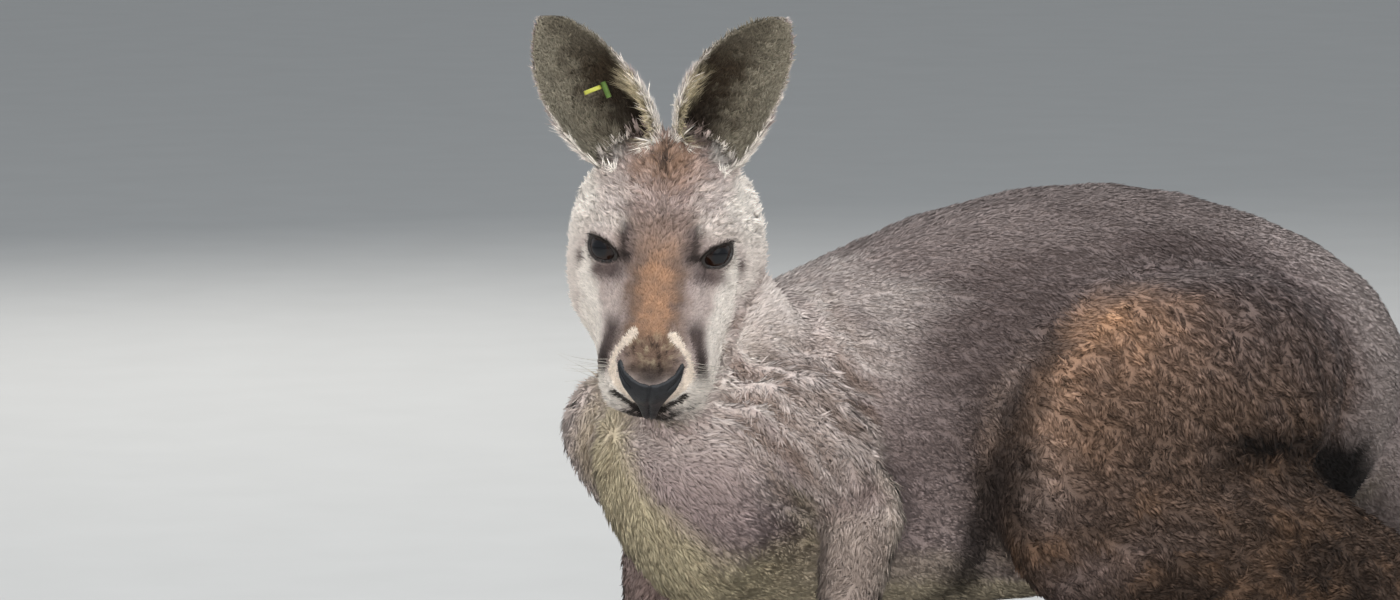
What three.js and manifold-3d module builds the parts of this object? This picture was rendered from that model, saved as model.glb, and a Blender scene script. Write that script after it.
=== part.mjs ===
// A red kangaroo, an adult female, as a still life-size model. It crouches on all fours with its hind
// legs folded under it and its tail on the ground, and turns its head to its left. It wears a small tag in
// its right ear. Millimetres, +Z up, the ground at z = 0. The animal faces -X, its left side is at -Y, and
// the finished group is moved so that the origin is under the middle of its bounding box. Every solid
// reaches to the tips of the coat.

import * as THREE from "three";
import { mergeVertices } from "three/addons/utils/BufferGeometryUtils.js";
import Module from "manifold-3d";

const wasm = await Module();
wasm.setup();

// ----------------------------------------------------------------------------------------------------
// Driving dimensions

const GAP = 0.4; // between neighbouring solids
const FLAT = 2.5; // how far soles, palms and tail would sink into the ground, and are cut level with it

const BACK_HEIGHT = 388; // ground to the top of the arched back
const TRUNK_WIDTH = 232; // across the flanks, without the thighs
const EYE_SIZE = 28.4; // diameter of the eyeball
const EAR_LENGTH = 117; // from its root, inside the head
const EAR_ROLL = 45.5; // half the width of the ear if it were unrolled
const EAR_WALL = 2.4; // half the thickness of the ear, coat included
const TAIL_THICKNESS = 110; // at the root
const SOLE = 15; // height of the middle of a toe over the ground
const PALM = 36; // wrist to the roots of the fingers

// Head pose: the muzzle's heading from -X towards -Y, its dip below level, and its lean to the right.
const HEAD_YAW = 55;
const HEAD_DIP = 47;
const HEAD_LEAN = 3.2;
const EYE_LINE = new THREE.Vector3(-289, -36, 358); // midway between the eyes, the origin of the head

// Joints of the limbs. Left and right forelimbs stand differently, because the chest turns with the head.
const LEFT = -1;
const RIGHT = 1;
const EAR = { [LEFT]: { splay: 0.43, bow: 5 }, [RIGHT]: { splay: 0.61, bow: -2 } }; // lean, bow inwards
const FORELIMB = {
  [LEFT]: { shoulder: [-236, -78, 254], elbow: [-176, -112, 196], wrist: [-206, -106, 30], turn: 22 },
  [RIGHT]: { shoulder: [-284, 37, 242], elbow: [-222, 62, 168], wrist: [-246, 64, 30], turn: 14 },
};
const HIP = { x: 170, y: 84, z: 262 };
const KNEE = { x: -18, y: 106, z: 160 };
const ANKLE = { x: 322, y: 98, z: 64 };
const HEEL_X = 350;
const TOE_X = 98; // tip of the longest toe, without its claw
const FOOT_Y = 104;

// ----------------------------------------------------------------------------------------------------
// Shapes

const point = (p) => new THREE.Vector3(...p);
const radians = THREE.MathUtils.degToRad;

// The value at t, from 0 to 1, of rows of numbers that stand at even steps, on a smooth curve through them.
function between(rows, t) {
  const values = [];
  for (let first = 0; first < rows[0].length; first += 3) {
    const knots = rows.map((row) => point([row[first], row[first + 1] ?? 0, row[first + 2] ?? 0]));
    values.push(...new THREE.CatmullRomCurve3(knots, false, "catmullrom", 0.5).getPoint(t).toArray());
  }
  return values.slice(0, rows[0].length);
}

// A closed body of rings round a path. Each station is a ring, [x, y, z, side, above, below, turn, keel]:
// its middle, its half width, its reach up and down, the heading of its width in degrees from -Y towards
// +X, and the share by which it narrows towards the bottom. round is the share of the length over which
// each end closes to a point, and 0 for a flat end. full says how square the upper and lower halves are, 2
// being an ellipse. Bumps push the surface out, or in, round given places. Rings stand square to the path,
// or to axis where it is given.
function tube({ stations, rings, sides, round = [0, 0], full = [2, 2], grow = 0, bumps = [], axis }) {
  const vertices = [];
  const closing = (share, length) => {
    if (length === 0 || share >= length) return 1;
    return Math.sqrt(1 - (1 - share / length) ** 2);
  };
  const rows = [];
  for (let i = 0; i <= rings; i++) {
    const even = i / rings;
    const eased = 0.5 - 0.5 * Math.cos(Math.PI * even);
    const t = THREE.MathUtils.lerp(round[0] > 0 ? eased : even, round[1] > 0 ? eased : even, even);
    const [x, y, z, side, above, below, turn, keel] = between(stations, t);
    const narrowed = closing(t, round[0]) * closing(1 - t, round[1]);
    const centre = point([x, y, z]);
    const along = axis?.clone() ?? point(between(stations, Math.min(1, t + 0.01)));
    if (!axis) along.sub(point(between(stations, Math.max(0, t - 0.01)))).normalize();
    if (narrowed < 1e-3) {
      rows.push([vertices.push(centre.addScaledVector(along, t < 0.5 ? -grow : grow)) - 1]);
      continue;
    }
    const level = new THREE.Vector3(Math.sin(radians(turn)), -Math.cos(radians(turn)), 0);
    const across = level.addScaledVector(along, -level.dot(along)).normalize();
    const up = new THREE.Vector3().crossVectors(across, along);
    if (up.z < 0) up.negate();
    const row = [];
    for (let k = 0; k < sides; k++) {
      const [cos, sin] = [Math.cos((2 * Math.PI * k) / sides), Math.sin((2 * Math.PI * k) / sides)];
      const squared = (value) => Math.sign(value) * Math.abs(value) ** (2 / (sin > 0 ? full[0] : full[1]));
      const wide = side * narrowed * (1 - (keel ?? 0) * Math.max(0, -sin) ** 1.5) + grow;
      const tall = (sin > 0 ? above : below) * narrowed + grow;
      const away = across.clone().multiplyScalar(wide * squared(cos));
      away.addScaledVector(up, tall * squared(sin));
      const place = centre.clone().add(away);
      const pushes = bumps.map(({ at, size, push }) => {
        return push * Math.exp(-place.distanceToSquared(point(at)) / (2 * size ** 2));
      });
      place.addScaledVector(away.normalize(), pushes.reduce((sum, push) => sum + push, 0));
      row.push(vertices.push(place) - 1);
    }
    rows.push(row);
  }
  if (rows[0].length > 1) rows.unshift([vertices.push(point(between(stations, 0))) - 1]);
  if (rows.at(-1).length > 1) rows.push([vertices.push(point(between(stations, 1))) - 1]);
  return skinned(vertices, rows);
}

// A closed geometry over rings of vertices, whose first and last ring is a single point.
function skinned(vertices, rows) {
  const faces = [];
  for (let i = 1; i < rows.length; i++) {
    const [a, b] = [rows[i - 1], rows[i]];
    const sides = Math.max(a.length, b.length);
    for (let k = 0; k < sides; k++) {
      const next = (k + 1) % sides;
      if (a.length === 1) faces.push(a[0], b[k], b[next]);
      else if (b.length === 1) faces.push(a[k], b[0], a[next]);
      else faces.push(a[k], b[k], b[next], a[k], b[next], a[next]);
    }
  }
  return closedGeometry(vertices, faces);
}

// Vertices and faces as a geometry whose faces point outwards.
function closedGeometry(vertices, faces) {
  let sixVolumes = 0;
  for (let i = 0; i < faces.length; i += 3) {
    const [a, b, c] = [vertices[faces[i]], vertices[faces[i + 1]], vertices[faces[i + 2]]];
    sixVolumes += a.dot(new THREE.Vector3().crossVectors(b, c));
  }
  const outward = sixVolumes > 0 ? faces : faces.toReversed();
  return new THREE.BufferGeometry().setFromPoints(vertices).setIndex(outward);
}

// A ball stretched to three half sizes, turned about X, Y and Z by degrees and set at a place.
function ball(place, sizes, turn = [0, 0, 0], segments = 14) {
  const shape = new THREE.SphereGeometry(1, segments, Math.round(segments * 0.65));
  shape.rotateX(Math.PI / 2);
  shape.scale(...sizes);
  shape.applyMatrix4(new THREE.Matrix4().makeRotationFromEuler(new THREE.Euler(...turn.map(radians))));
  return shape.translate(...place);
}

// ----------------------------------------------------------------------------------------------------
// Joining and cutting

function solid(geometry) {
  const bare = new THREE.BufferGeometry();
  const source = geometry.index ? geometry.toNonIndexed() : geometry;
  bare.setAttribute("position", source.getAttribute("position").clone());
  const merged = mergeVertices(bare, 1e-3);
  return new wasm.Manifold(
    new wasm.Mesh({
      numProp: 3,
      vertProperties: new Float32Array(merged.attributes.position.array),
      triVerts: new Uint32Array(merged.index.array),
    }),
  );
}

// The largest closed body of a solid, as a geometry.
function geometryOf(made) {
  const largest = made.decompose().sort((a, b) => b.volume() - a.volume())[0];
  const mesh = largest.getMesh();
  return new THREE.BufferGeometry()
    .setAttribute("position", new THREE.BufferAttribute(mesh.vertProperties, 3))
    .setIndex(new THREE.BufferAttribute(mesh.triVerts, 1));
}

const joined = (...parts) => parts.map(solid).reduce((whole, part) => whole.add(part));
const without = (whole, ...cutters) => {
  return cutters.reduce((left, cutter) => left.subtract(solid(cutter)), whole);
};

// What is left of a solid above the ground.
function onGround(made) {
  return made.trimByPlane([0, 0, 1], 0);
}

// ----------------------------------------------------------------------------------------------------
// Finishes

const coat = (color) => new THREE.MeshStandardMaterial({ color, roughness: 0.95, metalness: 0 });
const BLUE_GREY = coat("#8d8085");
const FACE = coat("#a3958f");
const PALE = coat("#cfc3b4");
const RUST = coat("#8f6f5d");
const TAIL_GREY = coat("#a59c99");
const FOOT_BROWN = coat("#6f6058");
const EAR_GREY = coat("#7b746c");
const CLAW = new THREE.MeshStandardMaterial({ color: "#241f1d", roughness: 0.4, metalness: 0 });
const NOSE = new THREE.MeshStandardMaterial({ color: "#1d1a1c", roughness: 0.35, metalness: 0 });
const EYE = new THREE.MeshStandardMaterial({ color: "#1a100b", roughness: 0.05, metalness: 0 });
const TAG = new THREE.MeshStandardMaterial({ color: "#d8d455", roughness: 0.45, metalness: 0 });
const TAG_GREEN = new THREE.MeshStandardMaterial({ color: "#6f8a3f", roughness: 0.45, metalness: 0 });

const model = new THREE.Group();

function add(group, name, geometry, material) {
  const mesh = new THREE.Mesh(geometry, material);
  mesh.name = name;
  group.add(mesh);
}

const sideName = (side) => (side === LEFT ? "left" : "right");

// ----------------------------------------------------------------------------------------------------
// Trunk: from the breast to the root of the tail. Its front turns towards the left.

function trunkShape(grow) {
  const flank = TRUNK_WIDTH / 2;
  const middle = 232;
  const [high, low] = [BACK_HEIGHT - middle, middle - 96];
  const stations = [
    [-320, -62, middle - 24, flank * 0.5, high * 0.2, low * 0.5, 34, 0.2],
    [-282, -46, middle - 18, flank * 0.62, high * 0.4, low * 0.72, 28, 0.4],
    [-226, -22, middle - 10, flank * 0.68, high * 0.57, low * 0.84, 20, 0.4],
    [-150, -6, middle, flank * 0.77, high * 0.69, low * 0.94, 8, 0.3],
    [-56, 0, middle, flank * 0.92, high * 0.89, low, 0, 0.16],
    [44, 0, middle, flank, high, low, 0, 0.08],
    [138, 0, middle, flank * 0.98, high * 0.97, low * 0.96, 0, 0.1],
    [222, 0, middle, flank * 0.88, high * 0.82, low * 0.92, 0, 0.16],
    [292, 0, middle - 6, flank * 0.75, high * 0.63, low * 0.84, 0, 0.18],
    [352, 0, middle - 24, flank * 0.6, high * 0.45, low * 0.66, 0, 0.16],
  ];
  return tube({ stations, rings: 19, sides: 20, round: [0.12, 0.16], full: [2.1, 2.3], grow });
}

// ----------------------------------------------------------------------------------------------------
// Neck: from the back of the head down into the shoulders

function neckShape(grow) {
  const stations = [
    [-264, 4, 388, 44, 34, 50, 50, 0],
    [-258, 2, 354, 50, 36, 62, 44, 0],
    [-246, -4, 316, 62, 44, 64, 34, 0],
    [-224, -12, 276, 78, 54, 60, 26, 0],
    [-200, -12, 242, 80, 62, 50, 20, 0],
  ];
  return tube({ stations, rings: 9, sides: 16, round: [0.2, 0.3], grow });
}

// ----------------------------------------------------------------------------------------------------
// Tail: down from the rump to the ground and straight back. It is parted into three lengths later.

const TAIL_CUTS = [-Infinity, 512, 722, Infinity]; // where along X the lengths meet

function tailShape(grow) {
  const thick = TAIL_THICKNESS / 2;
  const route = [
    // x, y, height of the middle when it does not lie on the ground, thickness as a share of the root's
    [280, 0, 240, 1.16],
    [346, 0, 190, 1.1],
    [412, 1, 144, 0.95],
    [480, 4, 104, 0.78],
    [552, 9, 66, 0.71],
    [634, 16, 0, 0.65],
    [722, 26, 0, 0.59],
    [812, 38, 0, 0.53],
    [902, 52, 0, 0.46],
    [990, 68, 0, 0.37],
  ];
  const stations = route.map(([x, y, z, share]) => {
    const radius = thick * share;
    return [x, y, Math.max(z, radius - FLAT), radius * 0.96, radius, radius, 0, 0];
  });
  return tube({ stations, rings: 21, sides: 14, round: [0, 0.12], grow });
}

// ----------------------------------------------------------------------------------------------------
// Hind legs, folded: the thigh is a broad wedge on the flank, and the shank lies back under it

function thighShape(side, grow) {
  const along = (share, lift) => [
    THREE.MathUtils.lerp(KNEE.x, HIP.x, share),
    side * THREE.MathUtils.lerp(KNEE.y, HIP.y, share),
    THREE.MathUtils.lerp(KNEE.z, HIP.z, share) + lift,
  ];
  const stations = [
    [...along(-0.17, -8), 38, 50, 58, 0, 0],
    [...along(0.06, 4), 48, 98, 64, 0, 0],
    [...along(0.38, 10), 57, 116, 68, 0, 0],
    [...along(0.76, -2), 59, 104, 74, 0, 0],
    [...along(1.1, -22), 53, 84, 80, 0, 0],
    [...along(1.46, -48), 38, 56, 66, 0, 0],
  ];
  return tube({ stations, rings: 13, sides: 18, round: [0.24, 0.3], full: [2.2, 2.2], grow });
}

function shankShape(side, grow) {
  const along = (share, lift, out) => [
    THREE.MathUtils.lerp(KNEE.x, ANKLE.x, share),
    side * (THREE.MathUtils.lerp(KNEE.y, ANKLE.y, share) + out),
    THREE.MathUtils.lerp(KNEE.z, ANKLE.z, share) + lift,
  ];
  const stations = [
    [...along(-0.13, -8, 2), 34, 46, 50, 0, 0],
    [...along(0.1, 0, 8), 46, 66, 56, 0, 0],
    [...along(0.34, 4, 10), 48, 88, 50, 0, 0],
    [...along(0.58, 8, 5), 39, 78, 38, 0, 0],
    [...along(0.8, 8, 1), 28, 60, 32, 0, 0],
    [...along(1, 0, 0), 19, 34, 26, 0, 0],
    [HEEL_X - 6, side * ANKLE.y, ANKLE.z - 16, 16, 24, 22, 0, 0],
  ];
  return tube({ stations, rings: 11, sides: 12, round: [0.16, 0.1], grow });
}

function footShape(side, grow) {
  const length = HEEL_X - TOE_X;
  const back = (share) => HEEL_X - share * length;
  const sole = [
    [back(0), side * ANKLE.y, 22, 15, 22, 24, 0],
    [back(0.12), side * ANKLE.y, 24, 19, 32, 27, 0],
    [back(0.3), side * (ANKLE.y + 1), 22, 18, 20, 24.5, 0],
    [back(0.48), side * (ANKLE.y + 3), 20, 19, 15, 22.5, 0],
    [back(0.64), side * (ANKLE.y + 5), 18, 20, 14, 20.5, 0],
    [back(0.8), side * FOOT_Y, SOLE, 14, 13, 18.5, 0],
    [back(1), side * FOOT_Y, SOLE - 3, 11, 10, 15.5, 0],
  ];
  const outerToe = [
    [back(0.56), side * (FOOT_Y + 12), SOLE, 9, 10, 18.5, 0],
    [back(0.68), side * (FOOT_Y + 21), SOLE - 2, 9, 9, 16.5, 0],
    [back(0.8), side * (FOOT_Y + 24), SOLE - 4, 8, 8, 14.5, 0],
  ];
  const groomingToe = [
    [back(0.52), side * (FOOT_Y - 15), SOLE, 6, 8, 12, 0],
    [back(0.64), side * (FOOT_Y - 20), SOLE - 2, 6.5, 7, 16.5, 0],
    [back(0.74), side * (FOOT_Y - 21), SOLE - 4, 6, 6, 14.5, 0],
  ];
  const toe = { rings: 3, sides: 6, round: [0.3, 0.35], grow };
  return joined(
    tube({ stations: sole, rings: 9, sides: 10, round: [0.12, 0.1], full: [2.3, 2.3], grow }),
    tube({ stations: outerToe, ...toe }),
    tube({ stations: groomingToe, ...toe }),
  );
}

// ----------------------------------------------------------------------------------------------------
// Forelimbs: the upper arm lies back along the chest, and the forearm stands on the palm

function upperArmShape(side, grow) {
  const { shoulder, elbow, turn } = FORELIMB[side];
  const lerp = (share, lift) => {
    const [x, y, z] = shoulder.map((value, i) => value + (elbow[i] - value) * share);
    return [x, y, z + lift];
  };
  const stations = [
    [...lerp(-0.3, 0), 35, 44, 36, turn],
    [...lerp(0.15, 2), 41, 51, 43, turn],
    [...lerp(0.6, 0), 38, 43, 40, turn],
    [...lerp(1.22, 2), 28, 31, 29, turn],
  ];
  return tube({ stations, rings: 7, sides: 12, round: [0.3, 0.3], grow });
}

function forearmShape(side, grow) {
  const { elbow, wrist, turn } = FORELIMB[side];
  const lerp = (share) => elbow.map((value, i) => value + (wrist[i] - value) * share);
  const stations = [
    [...lerp(-0.14), 27, 30, 30, turn],
    [...lerp(0.12), 29, 33, 32, turn],
    [...lerp(0.4), 22, 25, 24, turn],
    [...lerp(0.72), 16, 18, 17, turn],
    [...lerp(1.06), 14, 15, 14, turn],
  ];
  return tube({ stations, rings: 7, sides: 10, round: [0.16, 0.1], grow });
}

const FINGERS = [
  { spread: -34, length: 20, thick: 5, root: 0.55 },
  { spread: -13, length: 28, thick: 5.5, root: 1 },
  { spread: 0, length: 31, thick: 5.8, root: 1 },
  { spread: 13, length: 27, thick: 5.5, root: 1 },
  { spread: 32, length: 21, thick: 5, root: 0.7 },
];

const FINGER_CLAW = { length: 17, thick: 3.6 };
const CLAW_HEIGHT = 8; // of a finger's claw, at its root

// The heading of a hand, and the places along one of its fingers.
function handFrame(side) {
  const { wrist, turn } = FORELIMB[side];
  const heading = (degrees) => {
    const angle = radians(turn + degrees);
    return point([-Math.cos(angle), -Math.sin(angle), 0]);
  };
  const ahead = heading(0);
  const fingerAt = ({ spread, root, length }, share) => {
    const way = heading(side === LEFT ? spread : -spread);
    const start = point(wrist).addScaledVector(ahead, 4).addScaledVector(way, PALM * root);
    return start.addScaledVector(way, length * share);
  };
  return { wrist, turn, heading, ahead, fingerAt };
}

function handShape(side, grow) {
  const { wrist, turn, ahead, fingerAt } = handFrame(side);
  const along = (share, z) => {
    const place = point(wrist).addScaledVector(ahead, share);
    return [place.x, place.y, z];
  };
  const palm = [
    [...along(-14, 16), 10, 13, 18.5, turn],
    [...along(2, 17), 16, 15, 19.5, turn],
    [...along(20, 14), 19, 11, 16.5, turn],
    [...along(PALM + 8, 11), 19, 8, 13.5, turn],
  ];
  const fingers = FINGERS.map((finger) => {
    const middle = (share, z) => {
      const place = fingerAt(finger, share);
      return [place.x, place.y, z];
    };
    const stations = [
      [...middle(-0.4, 11), finger.thick, finger.thick, 10, turn],
      [...middle(0.4, 10.5), finger.thick, finger.thick + 1, 13, turn],
      [...middle(1.0, 7.5), finger.thick - 0.8, finger.thick, 10, turn],
    ];
    return tube({ stations, rings: 3, sides: 5, round: [0.35, 0.35], grow });
  });
  const pad = tube({ stations: palm, rings: 5, sides: 8, round: [0.3, 0.3], full: [2.3, 2.3], grow });
  return joined(pad, ...fingers);
}

// A claw that curves down from its root to its tip.
function clawShape(root, ahead, length, thick, grow = 0) {
  const stations = [0, 0.35, 0.7, 1].map((share) => {
    const place = root.clone().addScaledVector(ahead, length * share);
    const drop = length * 0.28 * share * share;
    const size = thick * (1 - 0.82 * share);
    const turn = THREE.MathUtils.radToDeg(Math.atan2(-ahead.y, -ahead.x));
    return [place.x, place.y, root.z - drop, size * 0.75, size, size, turn];
  });
  return tube({ stations, rings: 3, sides: 4, grow });
}

// ----------------------------------------------------------------------------------------------------
// Head, in its own frame: +X along the muzzle, +Y to its left, +Z to the crown, origin between the eyes

const MUZZLE_TIP = 112;
const head = new THREE.Group();
head.name = "head_frame";
head.position.copy(EYE_LINE);
{
  const [yaw, dip] = [radians(HEAD_YAW), radians(HEAD_DIP)];
  const level = new THREE.Vector3(-Math.cos(yaw), -Math.sin(yaw), 0);
  const forward = level.clone().multiplyScalar(Math.cos(dip)).setZ(-Math.sin(dip));
  const crown = level.clone().multiplyScalar(Math.sin(dip)).setZ(Math.cos(dip));
  const left = new THREE.Vector3().crossVectors(crown, forward);
  const lean = new THREE.Quaternion().setFromAxisAngle(level, radians(-HEAD_LEAN));
  head.quaternion.setFromRotationMatrix(new THREE.Matrix4().makeBasis(forward, left, crown)).premultiply(lean);
  head.updateMatrixWorld(true);
}
const inWorld = (geometry) => geometry.clone().applyMatrix4(head.matrixWorld);

const mirrored = (bumps) =>
  bumps.flatMap((bump) => [bump, { ...bump, at: [bump.at[0], -bump.at[1], bump.at[2]] }]);
const HEAD_BUMPS = [
  ...mirrored([
    { at: [-4, 38, 36], size: 11, push: 5 }, // brow
    { at: [10, 44, 11], size: 11, push: -7.5 }, // hollow of the eye
    { at: [40, 34, 10], size: 14, push: -2 }, // side of the bridge
    { at: [84, 34, -22], size: 13, push: 3 }, // whisker pad
  ]),
  { at: [-50, 0, 50], size: 18, push: 2 }, // crown
];

function headShape(grow) {
  const profile = [
    // x, y, half width, top, middle, bottom
    [MUZZLE_TIP, 0, 21, 5, -15, -36],
    [104, 1, 28, 14, -17, -44],
    [90, 2, 34, 21, -22, -49],
    [70, 2, 38, 27, -28, -51],
    [50, 3, 44, 33, -33, -56],
    [31, 3, 53, 39, -37, -62],
    [12, 3, 61, 45, -37, -68],
    [-8, 3, 65, 50, -31, -71],
    [-29, 3, 65, 52, -22, -70],
    [-51, 2, 60, 51, -12, -64],
    [-73, 1, 50, 43, -7, -54],
    [-92, 0, 38, 32, -6, -40],
  ];
  const stations = profile.map(([x, y, wide, top, middle, bottom]) => [
    x, y, middle, wide, top - middle, middle - bottom, 180, 0,
  ]);
  const axis = point([-1, 0, 0]);
  const [round, full] = [[0.1, 0.2], [1.85, 2.5]];
  return tube({ stations, rings: 19, sides: 20, round, full, grow, bumps: HEAD_BUMPS, axis });
}

// The ear tag: a plate that stands off the cup of the right ear, held by a stud through the ear's leaf.
const TAG_PLACE = point([-79, -51, 69]);
const TAG_PLATE = [12, 9, 2.6];
const STUD = { radius: 1.9, length: 11 };

// Puts a shape whose +X and +Y are the plate's length and breadth at the tag's place, slid along it.
function atTag(shape, slide, lift) {
  const across = new THREE.Vector3(0, 0.905, 0).addScaledVector(point([-0.798, 0, 0.602]), 0.425);
  const outwards = point([0.6, 0, 0.8]);
  const normal = new THREE.Vector3().crossVectors(across, outwards);
  shape.translate(slide, 0, lift);
  shape.applyMatrix4(new THREE.Matrix4().makeBasis(across, outwards, normal));
  return shape.translate(...TAG_PLACE);
}

function tagPlate(grow) {
  const [long, broad, thick] = TAG_PLATE;
  const plate = new THREE.CylinderGeometry(broad / 2 + grow, broad / 2 + grow, thick + 2 * grow, 20);
  plate.rotateX(Math.PI / 2).scale(long / broad, 1, 1);
  return atTag(plate, 0, 0);
}

function tagStud(grow) {
  const { radius, length } = STUD;
  const pin = new THREE.CylinderGeometry(radius + grow, radius + grow, length + 2 * grow, 14);
  return atTag(pin.rotateX(Math.PI / 2), TAG_PLATE[0] / 2 + radius + GAP, 3);
}

// The lower jaw: everything below the line of the mouth, from the chin to under the cheek.
function jawRegion(grow) {
  const outline = new THREE.Shape();
  outline.moveTo(MUZZLE_TIP + 20, -25 + grow);
  outline.lineTo(96, -27 + grow);
  outline.quadraticCurveTo(70, -30 + grow, 46, -25 + grow);
  outline.quadraticCurveTo(30 - grow, -34, 22 - grow, -90);
  outline.lineTo(MUZZLE_TIP + 20, -90);
  outline.closePath();
  const slab = new THREE.ExtrudeGeometry(outline, { depth: 160, bevelEnabled: false, curveSegments: 5 });
  return slab.rotateX(Math.PI / 2).translate(0, 80, 0);
}

const eyeShape = (side, grow) => {
  const size = EYE_SIZE / 2 + grow;
  return ball([6, -side * 33, 12], [size, size, size], [0, 0, 0], 11);
};
const noseShape = (grow) => ball([102, 0, -3], [15 + grow, 22 + grow, 16 + grow], [0, -24, 0], 12);

// An ear is a rolled leaf. Each ring is an arc, nearly a full turn at the root, unrolled to the tip.
function earShape(side) {
  const left = -side;
  const { splay, bow } = EAR[side];
  const spine = point([-0.436, left * splay, 0.755]).normalize();
  const root = point([-60, left * 28, 42]).addScaledVector(spine, -14);
  const facing = point([0.6, left * 0.06, 0.8]);
  facing.addScaledVector(spine, -facing.dot(spine)).normalize();
  const outward = new THREE.Vector3().crossVectors(facing, spine).multiplyScalar(left);
  const [ringCount, arcCount] = [9, 6];
  const vertices = [];
  const rows = [[vertices.push(root.clone()) - 1]];
  for (let i = 0; i < ringCount; i++) {
    const t = i / ringCount;
    const rolled = EAR_ROLL * (1 - t ** 2.1) ** 0.72;
    const halfTurn = radians(THREE.MathUtils.lerp(140, 32, t ** 0.55));
    const radius = rolled / halfTurn;
    const middle = root.clone().addScaledVector(spine, EAR_LENGTH * t);
    middle.addScaledVector(facing, radius * Math.max(0, Math.cos(halfTurn)));
    middle.addScaledVector(outward, bow * Math.sin(Math.PI * t));
    const around = (u, thick) => {
      const angle = u * halfTurn;
      return middle
        .clone()
        .addScaledVector(outward, (radius + thick) * Math.sin(angle))
        .addScaledVector(facing, -(radius + thick) * Math.cos(angle));
    };
    const row = [];
    for (let k = 0; k <= arcCount; k++) row.push(vertices.push(around((2 * k) / arcCount - 1, EAR_WALL)) - 1);
    for (let k = arcCount; k >= 0; k--) row.push(vertices.push(around((2 * k) / arcCount - 1, -EAR_WALL)) - 1);
    rows.push(row);
  }
  rows.push([vertices.push(root.clone().addScaledVector(spine, EAR_LENGTH)) - 1]);
  return skinned(vertices, rows);
}

const headWhole = solid(headShape(0));
const jaw = headWhole.intersect(solid(jawRegion(0)));
const skull = without(headWhole, jawRegion(GAP), noseShape(GAP), eyeShape(LEFT, GAP), eyeShape(RIGHT, GAP));
add(head, "head", geometryOf(skull), FACE);
add(head, "lower_jaw", geometryOf(without(jaw, noseShape(GAP))), PALE);
add(head, "nose", noseShape(0), NOSE);
for (const side of [LEFT, RIGHT]) {
  add(head, `eye_${sideName(side)}`, eyeShape(side, 0), EYE);
  const cutters = side === RIGHT ? [headShape(GAP), tagPlate(GAP), tagStud(GAP)] : [headShape(GAP)];
  add(head, `ear_${sideName(side)}`, geometryOf(without(solid(earShape(side)), ...cutters)), EAR_GREY);
}
add(head, "ear_tag", geometryOf(without(solid(tagPlate(0)), tagStud(GAP))), TAG);
add(head, "ear_tag_stud", tagStud(0), TAG_GREEN);

// ----------------------------------------------------------------------------------------------------
// Assembly: each piece is cut back from those it grows out of

const headGrown = inWorld(headShape(GAP));
const trunkGrown = trunkShape(GAP);
const neckGrown = neckShape(GAP);
model.add(head);
add(model, "trunk", geometryOf(without(solid(trunkShape(0)), headGrown)), BLUE_GREY);
add(model, "neck", geometryOf(without(solid(neckShape(0)), trunkGrown, headGrown)), BLUE_GREY);

const tail = without(onGround(solid(tailShape(0))), trunkGrown);
["tail_base", "tail_middle", "tail_tip"].forEach((name, i) => {
  const [from, to] = [TAIL_CUTS[i] + GAP / 2, TAIL_CUTS[i + 1] - GAP / 2];
  const behind = Number.isFinite(from) ? tail.trimByPlane([1, 0, 0], from) : tail;
  const length = Number.isFinite(to) ? behind.trimByPlane([-1, 0, 0], -to) : behind;
  add(model, name, geometryOf(length), TAIL_GREY);
});

for (const side of [LEFT, RIGHT]) {
  const name = sideName(side);
  const tailGrown = tailShape(GAP);
  const thigh = without(solid(thighShape(side, 0)), trunkGrown, tailGrown);
  add(model, `thigh_${name}`, geometryOf(thigh), RUST);
  const shank = without(solid(shankShape(side, 0)), thighShape(side, GAP), trunkGrown, tailGrown);
  add(model, `shank_${name}`, geometryOf(shank), RUST);
  const foot = onGround(footShape(side, 0));
  const toeX = (share) => HEEL_X - share * (HEEL_X - TOE_X);
  const clawRoots = [
    { toe: "fourth", x: TOE_X + 10, y: FOOT_Y, z: SOLE - 2, length: 36, thick: 8 },
    { toe: "fifth", x: toeX(0.8) + 6, y: FOOT_Y + 24, z: SOLE - 4, length: 22, thick: 6 },
    { toe: "third", x: toeX(0.74) + 4, y: FOOT_Y - 19, z: SOLE - 4, length: 13, thick: 3 },
    { toe: "second", x: toeX(0.74) + 4, y: FOOT_Y - 24, z: SOLE - 4, length: 13, thick: 3 },
  ];
  const claws = clawRoots.map(({ toe, x, y, z, length, thick }) => {
    const shape = (grow) => clawShape(point([x, side * y, z]), point([-1, 0, 0]), length, thick, grow);
    return { name: `foot_claw_${toe}_${name}`, shape };
  });
  const clear = without(foot, shankShape(side, GAP), ...claws.map((claw) => claw.shape(GAP)));
  add(model, `foot_${name}`, geometryOf(clear), FOOT_BROWN);
  for (const claw of claws) add(model, claw.name, claw.shape(0), CLAW);
}

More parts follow.
